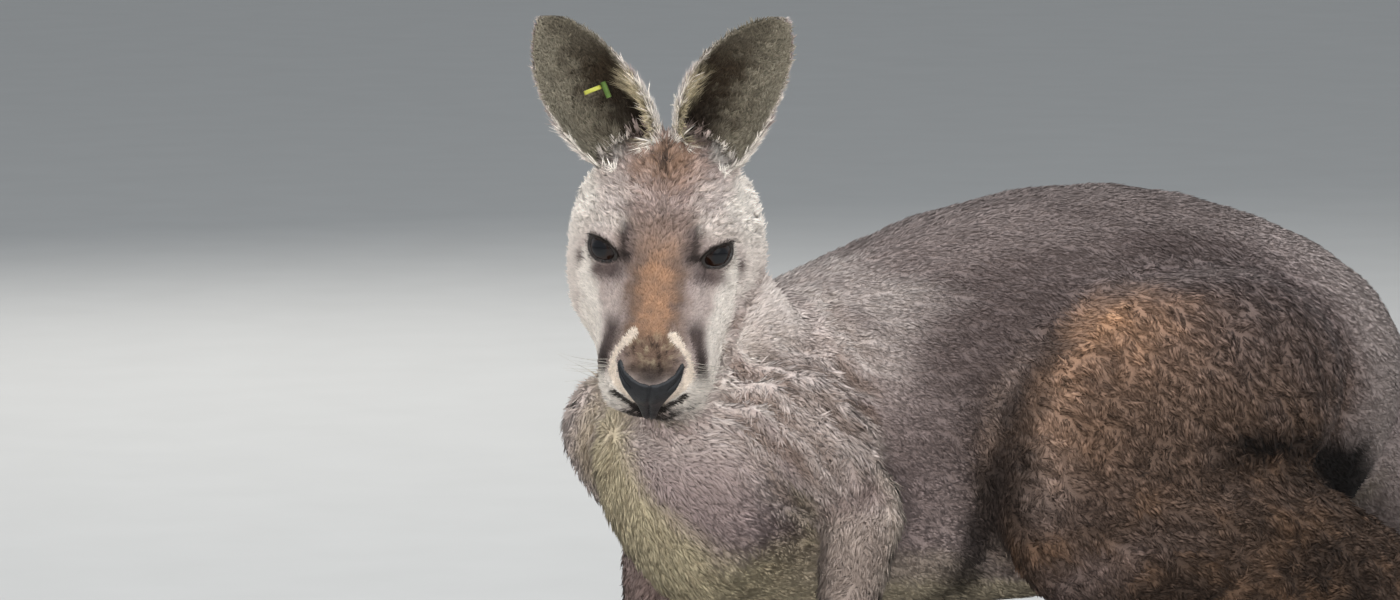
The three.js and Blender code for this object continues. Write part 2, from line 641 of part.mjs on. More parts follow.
for (const side of [LEFT, RIGHT]) {
  const name = sideName(side);
  const bodyGrown = [trunkGrown, neckGrown, headGrown];
  const upperArm = without(solid(upperArmShape(side, 0)), ...bodyGrown);
  add(model, `upper_arm_${name}`, geometryOf(upperArm), BLUE_GREY);
  const forearm = without(solid(forearmShape(side, 0)), upperArmShape(side, GAP), ...bodyGrown);
  add(model, `forearm_${name}`, geometryOf(forearm), BLUE_GREY);
  const { heading, fingerAt } = handFrame(side);
  const claws = FINGERS.map((finger, i) => {
    const root = fingerAt(finger, 0.82).setZ(CLAW_HEIGHT);
    const way = heading(side === LEFT ? finger.spread : -finger.spread);
    const shape = (grow) => clawShape(root, way, FINGER_CLAW.length, FINGER_CLAW.thick, grow);
    return { name: `hand_claw_${i + 1}_${name}`, shape };
  });
  const hand = onGround(handShape(side, 0));
  const cut = without(hand, forearmShape(side, GAP), ...claws.map((claw) => claw.shape(GAP)));
  add(model, `hand_${name}`, geometryOf(cut), FOOT_BROWN);
  for (const claw of claws) add(model, claw.name, claw.shape(0), CLAW);
}

// The origin goes under the middle of the animal, on the ground.
const bounds = new THREE.Box3().setFromObject(model, true);
const middle = bounds.getCenter(new THREE.Vector3());
model.position.set(-middle.x, -middle.y, -bounds.min.z);

export default model;
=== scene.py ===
"""A female red kangaroo as a still, life-size model: one skin, a coat of tufts, eyes and lids, nose, whiskers,
claws and an ear tag. Metres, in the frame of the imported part: the animal faces -X and its left side is at -Y."""

import math
from functools import partial

import bmesh
import bpy
import numpy as np
from mathutils import Matrix, Vector
from mathutils.bvhtree import BVHTree


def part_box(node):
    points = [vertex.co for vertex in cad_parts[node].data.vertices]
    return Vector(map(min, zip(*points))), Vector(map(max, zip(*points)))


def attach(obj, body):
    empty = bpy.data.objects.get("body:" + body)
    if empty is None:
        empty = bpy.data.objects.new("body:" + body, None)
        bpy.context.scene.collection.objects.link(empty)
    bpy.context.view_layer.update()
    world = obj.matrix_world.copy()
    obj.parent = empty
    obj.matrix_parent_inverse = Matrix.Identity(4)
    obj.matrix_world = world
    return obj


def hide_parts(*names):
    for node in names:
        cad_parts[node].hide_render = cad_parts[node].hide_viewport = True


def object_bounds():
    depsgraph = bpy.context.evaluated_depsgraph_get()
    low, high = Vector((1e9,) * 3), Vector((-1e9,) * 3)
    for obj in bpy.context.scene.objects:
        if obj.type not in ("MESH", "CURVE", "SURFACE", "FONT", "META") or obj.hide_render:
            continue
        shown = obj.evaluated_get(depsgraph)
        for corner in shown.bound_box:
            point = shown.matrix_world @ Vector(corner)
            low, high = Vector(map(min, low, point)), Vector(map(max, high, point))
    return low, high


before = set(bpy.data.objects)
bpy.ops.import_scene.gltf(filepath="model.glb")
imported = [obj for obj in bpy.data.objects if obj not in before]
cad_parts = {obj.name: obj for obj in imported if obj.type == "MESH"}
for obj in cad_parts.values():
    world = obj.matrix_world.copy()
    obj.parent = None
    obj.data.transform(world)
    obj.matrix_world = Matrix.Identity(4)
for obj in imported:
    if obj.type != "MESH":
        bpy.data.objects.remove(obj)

bl_info = {
    "name": "Kangaroo",
    "version": (1, 0, 0),
    "blender": (4, 5, 0),
    "location": "View3D > Sidebar > Kangaroo",
    "description": "Builds the skin, coat and details of a life-size kangaroo over its solids",
    "category": "Object",
}

CAD_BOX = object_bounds()
MM = 0.001
CLEARANCE = 0.0002  # between the finished surfaces and the part's box, in metres
SIDES = {"left": 1, "right": -1}  # the sign of +Y in the head's own frame
LIMBS = ("thigh", "shank", "foot", "upper_arm", "forearm", "hand")
HEAD_NODES = ["head", "lower_jaw", "nose"]
BODY_NODES = ["trunk", "neck", "tail_base", "tail_middle", "tail_tip"]
BODY_NODES += [f"{limb}_{side}" for limb in LIMBS for side in SIDES]
EAR_NODES = [f"ear_{side}" for side in SIDES]
REGIONS = HEAD_NODES + BODY_NODES + EAR_NODES
made = {}  # what one operator leaves for the next


def srgb(code):
    """A colour written as six hexadecimal digits, as linear red, green and blue."""
    parts = [int(code[i : i + 2], 16) / 255 for i in (0, 2, 4)]
    return tuple(c / 12.92 if c < 0.04045 else ((c + 0.055) / 1.055) ** 2.4 for c in parts)


# ---------------------------------------------------------------------------------------------------------
# Settings


def length(name, default, about):
    return bpy.props.FloatProperty(name=name, description=about, default=default, min=0, unit="LENGTH", precision=4)


def share(name, default, about, top=4.0):
    return bpy.props.FloatProperty(name=name, description=about, default=default, min=0, max=top)


def angle(name, degrees, about):
    return bpy.props.FloatProperty(name=name, description=about, default=math.radians(degrees), subtype="ANGLE")


def colour(name, code, about):
    return bpy.props.FloatVectorProperty(
        name=name, description=about, default=srgb(code), subtype="COLOR", size=3, min=0, max=1
    )


class KangarooBody(bpy.types.PropertyGroup):
    voxel: length("Skin grain", 0.002, "Size of the cells in which the skin is joined")
    coarse: length("Body grain", 0.004, "Size of the cells in which the body is first joined and smoothed")
    fold: length("Neck folds", 0.0036, "Height of the folds of skin on the neck and shoulder")
    triangles: bpy.props.IntProperty(name="Skin triangles", description="Most triangles of the skin", default=186000)


class KangarooCoat(bpy.types.PropertyGroup):
    long: share("Length", 1.0, "Length of the tufts, as a share of the usual")
    wide: share("Width", 1.0, "Width of the tufts, as a share of the usual")
    lift: share("Lift", 1.0, "How far the tufts stand off the skin, as a share of the usual")
    swirl: share("Swirl", 1.0, "How far clumps of tufts turn away from the lie of the coat")
    count: share("Number", 1.0, "Number of tufts, as a share of the usual", top=1.05)
    seed: bpy.props.IntProperty(name="Seed", description="Seed of the places and turns of the tufts", default=7)


class KangarooColours(bpy.types.PropertyGroup):
    # Some of these colours also paint light and shade: black in the creases, brown in the neck folds, pale grey and
    # white partly as top light
    blue_grey: colour("Blue grey", "a08e8c", "Back, flanks and neck")
    pale_grey: colour("Pale grey", "cbbab3", "Cheeks, forehead and shoulders")
    dark_grey: colour("Dark grey", "6b5e5b", "Patches by the eye and on the side of the muzzle")
    rust: colour("Rust", "b88e6f", "Bridge of the nose, crown and front of the thigh")
    brown: colour("Brown", "765f50", "Lower thigh, shank and top of the nose")
    cream: colour("Cream", "cfc1a1", "Chest, belly, rim of the nose and root of the ear")
    white: colour("White", "f5ece2", "Cheek stripe, lips, chin and sides of the head")
    black: colour("Black", "1b1715", "Line of the mouth and corners of the eyes")
    ear_dark: colour("Ear dark", "3d342a", "Short hair deep inside the ear")
    rim: colour("Rim", "ecdccb", "Edge of the nose")
    ear_grey: colour("Ear grey", "918a7a", "Hair inside the ear towards its rim")


class KangarooEye(bpy.types.PropertyGroup):
    iris: colour("Iris", "3a2012", "Colour of the iris")
    half_width: angle("Half width", 50, "Half the width of the opening of the lids")
    upper: angle("Upper lid", 22, "Height of the upper lid over the middle")
    lower: angle("Lower lid", 27, "Depth of the lower lid under the middle")


class KangarooStage(bpy.types.PropertyGroup):
    distance: length("Camera distance", 4.5, "From the eyes to the camera")
    azimuth: angle("Azimuth", -33, "Heading of the camera round the animal")
    elevation: angle("Elevation", 6, "Height of the camera above the level")
    lens: bpy.props.FloatProperty(
        name="Lens", description="Focal length", default=175.3, min=1, subtype="DISTANCE_CAMERA"
    )
    key: share("Sky light", 1.0, "Strength of the broad light overhead", top=20)
    fill: share("Fill light", 1.0, "Strength of the light from the camera's side", top=20)


SETTINGS = {
    "kangaroo_body": KangarooBody,
    "kangaroo_coat": KangarooCoat,
    "kangaroo_colours": KangarooColours,
    "kangaroo_eye": KangarooEye,
    "kangaroo_stage": KangarooStage,
}


# ---------------------------------------------------------------------------------------------------------
# Places


def middle(node):
    low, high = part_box(node)
    return (low + high) / 2


def find_head():
    """The head's frame, as a matrix: +X along the muzzle, +Y to its left, +Z to the crown, origin between the eyes."""
    left_eye, right_eye, nose = middle("eye_left"), middle("eye_right"), middle("nose")
    eye_line = (left_eye + right_eye) / 2
    left = (left_eye - right_eye).normalized()
    ahead = nose - eye_line
    ahead = (ahead - left * ahead.dot(left)).normalized()
    above = ahead.cross(left)
    dip = math.atan2(NOSE.z - EYE.z, NOSE.x - EYE.x)
    forward = ahead * math.cos(dip) - above * math.sin(dip)
    crown = ahead * math.sin(dip) + above * math.cos(dip)
    origin = eye_line - (forward * EYE.x + crown * EYE.z) * MM
    return Matrix((forward, left, crown)).transposed().to_4x4(), origin


EYE = Vector((6, 33, 12))  # middle of the left eye, in millimetres in the head's frame
EYE_RADIUS = 14.2
NOSE = Vector((102, 0, -3))
UP_FACE = Vector((-0.798, 0, 0.602))  # up the face, as it is seen from in front
OFF_FACE = Vector((0.602, 0, 0.798))  # out of the face
UP, OFF = np.array(UP_FACE), np.array(OFF_FACE)
HEAD_TURN, HEAD_PLACE = find_head()
TURN = np.array(HEAD_TURN.to_3x3())


def in_head(points):
    """World points in metres as millimetres in the head's frame."""
    return (np.asarray(points) - np.array(HEAD_PLACE)) @ TURN / MM


def from_head(points):
    return np.asarray(points, float) * MM @ TURN.T + np.array(HEAD_PLACE)


def unit(vectors):
    vectors = np.asarray(vectors, float)
    return vectors / np.maximum(np.linalg.norm(vectors, axis=-1, keepdims=True), 1e-12)


def step(low, high, values):
    """0 below low and 1 above high, smooth between."""
    t = np.clip((values - low) / (high - low), 0, 1)
    return t * t * (3 - 2 * t)


def hill(distance, size):
    return np.exp(-0.5 * (distance / size) ** 2)


def along_stroke(x, y, points):
    """Distance of (x, y) from a line through the points, and how far along it lies, from 0 to 1."""
    best, place = np.full(len(x), 1e9), np.zeros(len(x))
    spans = len(points) - 1
    for i, ((ax, ay), (bx, by)) in enumerate(zip(points, points[1:])):
        dx, dy = bx - ax, by - ay
        t = np.clip(((x - ax) * dx + (y - ay) * dy) / (dx * dx + dy * dy), 0, 1)
        away = np.hypot(x - ax - t * dx, y - ay - t * dy)
        nearer = away < best
        best, place = np.where(nearer, away, best), np.where(nearer, (i + t) / spans, place)
    return best, place


def waves(points, size, seed, octaves=1):
    """Smooth noise from about -1 to 1 with hills about size apart, as a sum of waves in fixed random directions."""
    points = np.asarray(points) / size
    draw = np.random.default_rng(seed)
    total, weight = np.zeros(len(points)), 0.0
    for octave in range(octaves):
        for _ in range(7):
            way = unit(draw.normal(size=3)) * draw.uniform(0.7, 1.4) * math.pi * 2**octave
            start = draw.uniform(0, 2 * math.pi)
            total += np.sin(points @ way + start + 1.3 * np.sin(points @ way[::-1] * 0.6)) / 2**octave
        weight += 7 / 2**octave / 2.6
    return total / weight


# ---------------------------------------------------------------------------------------------------------
# Meshes


def new_object(name, mesh):
    made_object = bpy.data.objects.new(name, mesh)
    bpy.context.scene.collection.objects.link(made_object)
    return made_object


def mesh_of(name, vertices, faces, smooth=True):
    mesh = bpy.data.meshes.new(name)
    mesh.from_pydata([tuple(v) for v in vertices], [], faces)
    if smooth:
        mesh.shade_smooth()
    return mesh


def points_of(mesh):
    values = np.empty(len(mesh.vertices) * 3)
    mesh.vertices.foreach_get("co", values)
    return values.reshape(-1, 3)


def move_points(mesh, points):
    mesh.vertices.foreach_set("co", np.asarray(points, float).ravel())
    mesh.update()


def normals_of(mesh):
    values = np.empty(len(mesh.vertices) * 3, np.float32)
    mesh.vertex_normals.foreach_get("vector", values)
    return values.reshape(-1, 3).astype(float)


def edges_of(mesh):
    values = np.empty(len(mesh.edges) * 2, np.int32)
    mesh.edges.foreach_get("vertices", values)
    return values.reshape(-1, 2)


def around(values, edges, count):
    """The mean of each vertex's neighbours."""
    a, b = edges[:, 0], edges[:, 1]
    degree = np.maximum(np.bincount(a, minlength=count) + np.bincount(b, minlength=count), 1)
    columns = values.reshape(count, -1)
    means = [np.bincount(a, c[b], count) + np.bincount(b, c[a], count) for c in columns.T]
    return (np.stack(means, 1) / degree[:, None]).reshape(values.shape)


def relaxed(values, edges, rounds, weight=1.0):
    weight = np.asarray(weight, float)
    if values.ndim > 1 and weight.ndim:
        weight = weight[:, None]
    for _ in range(rounds):
        values = values + 0.6 * weight * (around(values, edges, len(values)) - values)
    return values


def smoothed(points, edges, rounds, weight=1.0):
    """Relaxes the points and gives back the slow part of what that takes from the form, so it doesn't shrink."""
    soft = relaxed(points, edges, rounds, weight)
    return soft + relaxed(points - soft, edges, rounds, weight)


def gathered(shapes):
    """The vertices and faces of several shapes, as those of one."""
    vertices, faces = [], []
    for some, theirs in shapes:
        start = len(vertices)
        vertices += [tuple(v) for v in some]
        faces += [[start + i for i in face] for face in theirs]
    return vertices, faces


def evaluated(piece):
    """The piece's mesh with its modifiers applied, as a new mesh."""
    graph = bpy.context.evaluated_depsgraph_get()
    return bpy.data.meshes.new_from_object(piece.evaluated_get(graph), preserve_all_data_layers=True, depsgraph=graph)


def merged(node):
    """A working copy of a CAD node's mesh, with its doubled corners joined."""
    work = bmesh.new()
    work.from_mesh(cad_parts[node].data)
    bmesh.ops.remove_doubles(work, verts=work.verts, dist=1e-5)
    return work


def swelled(nodes):
    """Vertices, faces and each face's node of merged copies of CAD nodes, pushed out a little so that they join."""
    vertices, faces, owner = [], [], []
    for node in nodes:
        work = merged(node)
        work.normal_update()
        start = len(vertices)
        by = SWELL[kind(node)] * MM
        vertices += [v.co + v.normal * by for v in work.verts]
        faces += [[start + v.index for v in face.verts] for face in work.faces]
        owner += [REGIONS.index(node)] * len(work.faces)
        work.free()
    return vertices, faces, owner


def joined(name, shapes, voxel):
    """One closed mesh round several closed shapes, in cells of a size."""
    source = new_object(name, mesh_of(name, *gathered(shapes), smooth=False))
    remesh = source.modifiers.new("Join", "REMESH")
    remesh.mode, remesh.voxel_size, remesh.adaptivity = "VOXEL", voxel, 0
    result = evaluated(source)
    bpy.data.objects.remove(source)
    return outer_shell(result)


def faces_of(mesh):
    return [list(polygon.vertices) for polygon in mesh.polygons]


def outer_shell(mesh):
    """The mesh without the small closed pockets that joining leaves inside it."""
    edges = edges_of(mesh)
    label = np.arange(len(mesh.vertices))
    while True:
        low = np.minimum(label[edges[:, 0]], label[edges[:, 1]])
        new = label.copy()
        np.minimum.at(new, label[edges[:, 0]], low)
        np.minimum.at(new, label[edges[:, 1]], low)
        for _ in range(4):
            new = new[new]
        if (new == label).all():
            break
        label = new
    pocket = label != np.bincount(label).argmax()
    if pocket.any():
        work = bmesh.new()
        work.from_mesh(mesh)
        work.verts.ensure_lookup_table()
        bmesh.ops.delete(work, geom=[work.verts[i] for i in np.nonzero(pocket)[0]], context="VERTS")
        work.to_mesh(mesh)
        work.free()
    return mesh


# ---------------------------------------------------------------------------------------------------------
# Ears: each is a rolled leaf, nearly a full turn at the root, that unrolls towards the tip

EAR_LENGTH, EAR_ROLL = 117, 45.5  # millimetres, and half the width of the leaf laid flat
EAR_SHAPES = {"left": {"splay": 0.43, "bow": 5}, "right": {"splay": 0.61, "bow": -2}}


def ear_root(t, depth, across):
    """How far a point of the head belongs to the root of an ear, from 0 to 1."""
    return step(0.34, 0.2, t) * step(-0.2, -0.05, t) * step(13, 4, np.abs(depth)) * step(18, 26, np.abs(across))


def ear_frame(side):
    """Root, spine, facing and inward directions of an ear, in the head's frame."""
    left = SIDES[side]
    spine = Vector((-0.436, left * EAR_SHAPES[side]["splay"], 0.755)).normalized()
    root = Vector((-60, left * 28, 42)) - spine * 14
    facing = Vector((0.6, left * 0.06, 0.8))
    facing = (facing - spine * facing.dot(spine)).normalized()
    return tuple(np.array(v) for v in (root, spine, facing, facing.cross(spine) * left))


def ear_ring(side, t):
    """Middle, half turn and radius of the leaf at shares t of its length."""
    root, spine, facing, inward = ear_frame(side)
    t = np.atleast_1d(np.asarray(t, float))
    rolled = EAR_ROLL * (1 - np.clip(t, 0, 1) ** 2.1) ** 0.72
    half_turn = np.radians(140 + (32 - 140) * np.clip(t, 0, 1) ** 0.55)
    radius = rolled / half_turn
    centre = root + spine * (EAR_LENGTH * t)[:, None]
    centre = centre + facing * (radius * np.maximum(0, np.cos(half_turn)))[:, None]
    centre = centre + inward * (EAR_SHAPES[side]["bow"] * np.sin(np.pi * np.clip(t, 0, 1)))[:, None]
    return centre, half_turn, radius


def ear_leaf(side, wall):
    """A closed leaf of half thickness wall, as vertices and faces in world metres."""
    _, _, facing, inward = ear_frame(side)
    rings, arcs = 40, 28
    vertices, rows = [], []
    for i in range(rings):
        t = 0.03 + 0.965 * (i / (rings - 1)) ** 0.8
        (centre,), (half_turn,), (radius,) = ear_ring(side, t)
        row = []
        for sign in (1, -1):
            for k in range(arcs + 1):
                u = (2 * k / arcs - 1) * sign
                thick = wall * sign * min(1, 0.75 + 3 * (1 - abs(u))) * min(1, 0.7 + 6 * (1 - t))
                angle = u * half_turn
                place = centre + inward * (radius + thick) * math.sin(angle)
                place = place - facing * (radius + thick) * math.cos(angle)
                row.append(len(vertices))
                vertices.append(place)
        rows.append(row)
    faces = [rows[0][::-1], rows[-1]]
    for a, b in zip(rows, rows[1:]):
        faces += [[a[k], a[(k + 1) % len(a)], b[(k + 1) % len(a)], b[k]] for k in range(len(a))]
    return from_head(vertices), faces


def ear_place(side, head_points):
    """Share of the length, place across from -1 at the outer rim to 1 at the inner, and depth from the middle."""
    root, spine, facing, inward = ear_frame(side)
    t = (head_points - root) @ spine / EAR_LENGTH
    centre, half_turn, radius = ear_ring(side, np.clip(t, 0, 0.995))
    away = head_points - centre
    across, back = away @ inward, -(away @ facing)
    return t, np.arctan2(across, back) / half_turn, np.hypot(across, back) - radius


# ---------------------------------------------------------------------------------------------------------
# Skin: joined from the nodes of flesh, softened, drawn in by the depth of the coat, and shaped at the face

#            softening, coat depth in millimetres
FLESH = {
    "head": (6, 2.4), "lower_jaw": (6, 2.6), "nose": (3, 1.0), "trunk": (11, 4.6), "neck": (12, 5.0),
    "tail_base": (9, 4.5), "tail_middle": (8, 4.0), "tail_tip": (6, 3.5), "thigh": (9, 5.6), "shank": (8, 5.0),
    "foot": (3, 1.8), "upper_arm": (8, 5.0), "forearm": (5, 3.8), "hand": (2.2, 1.5), "ear": (3.4, 0.9),
}  # fmt: skip
SWELL = {name: 2.4 if name in ("trunk", "neck", "thigh", "upper_arm") else 1.0 for name in FLESH}


def kind(node):
    return node.rsplit("_", 1)[0] if node.endswith(tuple(SIDES)) else node


def by_region(owner, table):
    """A value for each vertex from its region's row of a table."""
    rows = np.array([table[kind(node)] for node in REGIONS], float)
    return rows[owner]


def within(owner, *kinds):
    """1 for each vertex in a region of these kinds, and 0 for the others."""
    return by_region(owner, {name: float(name in kinds) for name in FLESH})


def owners(points, shapes):
    """The region whose solid lies nearest to each point."""
    vertices, faces, owner = shapes
    tree = BVHTree.FromPolygons([tuple(v) for v in vertices], faces)
    return np.array([owner[tree.find_nearest(p)[2]] for p in map(Vector, points)])


def eye_axes(side):
    """Outward, along the lids from the inner to the outer corner, and up across them, in the head's frame."""
    left = SIDES[side]
    gaze = OFF_FACE * 0.866 + Vector((0, left * 0.5, 0)) - UP_FACE * 0.14
    gaze.normalize()
    slant = math.radians(26)
    along = Vector((0, left, 0)) * math.cos(slant) + UP_FACE * math.sin(slant)
    along = (along - gaze * along.dot(gaze)).normalized()
    return np.array(gaze), np.array(along), np.array(gaze.cross(along)) * left


def eye_centre(side):
    return np.array([EYE.x, EYE.y * SIDES[side], EYE.z])


def lid_place(side, head_points, eye):
    """Of each point: its distance from the middle of an eyeball, how far outside the opening of the lids its direction
    lies (1 on their edge), the angle beyond that edge, and the angles up and sideways from the opening's middle."""
    gaze, along, up = eye_axes(side)
    away = head_points - eye_centre(side)
    distance = np.linalg.norm(away, axis=1)
    ahead = away @ gaze / distance
    sideways = np.arctan2(away @ along / distance, np.maximum(ahead, -0.2))
    height = np.arcsin(np.clip(away @ up / distance, -1, 1))
    tall = np.where(height > 0, eye.upper, eye.lower) * (1 - 0.25 * sideways * (height > 0))
    outside = (np.abs(sideways / eye.half_width) ** 1.7 + np.abs(height / tall) ** 1.9) ** (1 / 1.8)
    angle = np.arccos(np.clip(ahead, -0.4, 1))
    beyond = angle * (1 - 1 / np.maximum(outside, 0.05))
    return distance, outside, beyond, height, sideways


MOUTH = ((22, 46, 70, 96, 130), (-31, -25, -29, -27, -25))  # along the muzzle, and height, in the head's frame


def shaped_face(head_points, eye):
    """The head's skin with sockets for the eyes, folds round the lids, and the groove of the mouth."""
    points = head_points.copy()
    near = np.linalg.norm(points, axis=1) < 140
    some = points[near]
    for side in SIDES:
        distance, outside, beyond, height, _ = lid_place(side, some, eye)
        beyond = np.degrees(beyond)
        over, under = step(0.0, 0.2, height), step(0.0, 0.2, -height)
        cover = EYE_RADIUS + 1.4 + 0.5 * over
        natural = np.maximum(distance, cover)
        radius = cover + (natural - cover) * step(6, 34, beyond)
        folds = 0.9 * over * hill(beyond - 7, 3.5) - 1.3 * over * hill(beyond - 15, 2.6)
        radius += folds + 1.7 * over * hill(beyond - 27, 7)
        radius += 0.8 * under * hill(beyond - 11, 4) - 0.8 * under * hill(beyond - 19, 3)
        radius = EYE_RADIUS - 3 + (radius - EYE_RADIUS + 3) * step(0.97, 1.12, outside)
        socket = (distance < 36) & (beyond < 60)
        moved = eye_centre(side) + unit(some - eye_centre(side)) * radius[:, None]
        some = np.where(socket[:, None], moved, some)
    x, y, z = some.T
    mouth = np.interp(x, *MOUTH)
    lips = hill(z - mouth, 1.5) * step(22, 40, x) * step(-0.5, 6, np.abs(y) + (x - 60) * 0.2)
    inward = unit(np.stack([np.full(len(x), -0.5) * (x > 100), -y, np.zeros(len(x))], 1))
    some = some + inward * (2.4 * lips)[:, None]
    points[near] = some
    return points


def fold_ridges(points):
    """Folds of loose skin that run down and back over the left side of the neck and the shoulder, about -0.5 to 0.5."""
    across = np.array([0.50, -0.36, 0.79])
    bent = points + 0.012 * np.stack([waves(points, 0.055, seed, 2) for seed in (3, 4, 5)], 1)
    phase = bent @ across / 0.0165 * math.pi
    ridge = 1 - np.abs(np.sin(phase)) ** 0.8
    return (ridge - 0.5) * np.clip(0.6 + 0.5 * waves(points, 0.05, 9), 0, 1.2) * fold_weight(points)


def fold_weight(points):
    """Where the neck folds lie, from 0 to 1."""
    shoulder, neck = np.array(middle("upper_arm_left")), np.array(middle("neck"))
    near = np.linalg.norm((points - (0.62 * neck + 0.38 * shoulder)) / [0.085, 0.085, 0.075], axis=1)
    arm = np.linalg.norm((points - shoulder) / [0.06, 0.05, 0.06], axis=1)
    return np.clip(step(1.35, 0.7, near) + 0.6 * step(1.3, 0.7, arm), 0, 1)


def ball(centre, radius):
    """Vertices and faces of a round ball, in world metres, from a place in the head's frame."""
    work = bmesh.new()
    bmesh.ops.create_icosphere(work, subdivisions=4, radius=radius)
    vertices = from_head([np.array(v.co) + centre for v in work.verts])
    faces = [[v.index for v in face.verts] for face in work.faces]
    work.free()
    return vertices, faces


def join_flesh(body):
    """The softened, swelled form of the whole animal as one mesh."""
    all_flesh = swelled(HEAD_NODES + BODY_NODES)
    rough = joined("Rough body", [all_flesh[:2]], body.coarse)
    points, edges = points_of(rough), edges_of(rough)
    owner = owners(points, all_flesh)
    grain = body.coarse / MM
    softness = by_region(owner, {name: row[0] for name, row in FLESH.items()})
    weight = relaxed(np.minimum(softness / 13, 1) ** 2, edges, 12)
    soft_body = smoothed(points, edges, round(13**2 / (0.3 * grain**2)), weight)
    shapes = [(soft_body, faces_of(rough))]
    grain = body.voxel / MM
    for nodes, softness in ((HEAD_NODES, 5.5), ([n for n in BODY_NODES if kind(n) in ("foot", "hand")], 2.2)):
        solids = [swelled(nodes)[:2]]
        if nodes is HEAD_NODES:
            solids += [ball(eye_centre(side), EYE_RADIUS + 2.2) for side in SIDES]
        part = joined("Fine part", solids, body.voxel)
        rounds = round(softness**2 / (0.3 * grain**2))
        shapes.append((smoothed(points_of(part), edges_of(part), rounds), faces_of(part)))
    shapes += [ear_leaf(side, 2.2) for side in SIDES]
    return joined("Skin", shapes, body.voxel)


def creases(points, owner):
    """The valley on the trunk in front of each thigh and behind each upper arm, from 0 to 1."""
    on_trunk = owner == REGIONS.index("trunk")
    result = np.zeros(len(points))
    for limb, way, share_of in (("thigh", -1, 1.0), ("upper_arm", 1, 0.6)):
        for side in SIDES:
            node = f"{limb}_{side}"
            vertices, faces, _ = swelled([node])
            tree = BVHTree.FromPolygons([tuple(v) for v in vertices], faces)
            centre = np.array(middle(node))
            mine = np.nonzero(on_trunk & ((points[:, 0] - centre[0]) * way > -0.03))[0]
            for i in mine:
                near = tree.find_nearest(Vector(points[i]), 0.03)
                if near[0] is not None:
                    facing = (points[i][0] - near[0][0]) * way / max(near[3], 1e-6)
                    valley = share_of * math.exp(-((near[3] / 0.011) ** 2)) * min(1.0, max(0.0, facing + 0.45) / 0.6)
                    if limb == "thigh":
                        valley *= 1 - 0.8 * min(1.0, max(0.0, (points[i][2] - centre[2]) / 0.07))
                    result[i] = max(result[i], valley)
    return result


def draw_in(mesh, owner, edges, valley):
    """Moves the skin inwards by the coat's depth, but not off the ground it stands on."""
    points = points_of(mesh)
    depth = by_region(owner, {name: row[1] + SWELL[name] for name, row in FLESH.items()})
    depth -= within(owner, "ear")
    head = in_head(points)
    muzzle = step(20, 80, head[:, 0]) * (np.abs(head[:, 1]) < 70)
    depth -= 1.4 * muzzle * within(owner, "head", "lower_jaw")
    for side in SIDES:
        depth *= 1 - 0.7 * step(34, 20, np.linalg.norm(head - eye_centre(side), axis=1))
    depth += 5.0 * valley
    depth = relaxed(depth, edges, 14, 1 - within(owner, "ear"))
    inward = -relaxed(normals_of(mesh), edges, 3)
    inward[:, 2] *= np.where(inward[:, 2] > 0, step(0.002, 0.012, points[:, 2]), 1)
    points = points + unit(inward) * np.linalg.norm(inward, axis=1)[:, None].clip(0, 1) * (depth * MM)[:, None]
    points[:, 2] = np.maximum(points[:, 2], CLEARANCE)
    return points


def thinned(mesh, keep, triangles):
    """The mesh with fewer triangles, its vertices in keep left as they are."""
    piece = new_object("Thinning", mesh)
    group = piece.vertex_groups.new(name="Thin")
    group.add(np.nonzero(~keep)[0].tolist(), 1.0, "REPLACE")
    whole = sum(len(polygon.vertices) - 2 for polygon in mesh.polygons)
    thin = piece.modifiers.new("Thin", "DECIMATE")
    thin.vertex_group, thin.ratio = group.name, triangles / whole
    result = evaluated(piece)
    bpy.data.objects.remove(piece)
    return result


def refined(mesh, chosen):
    """The mesh with the faces between chosen vertices cut finer."""
    work = bmesh.new()
    work.from_mesh(mesh)
    work.verts.ensure_lookup_table()
    edges = [edge for edge in work.edges if chosen[edge.verts[0].index] and chosen[edge.verts[1].index]]
    bmesh.ops.subdivide_edges(work, edges=edges, cuts=1, use_grid_fill=True, smooth=0.6)
    work.to_mesh(mesh)
    work.free()
    mesh.update()
    return mesh


def in_front(head):
    """The front of the face, which gets finer faces."""
    return (head @ OFF > -6) & (head[:, 0] > -45)


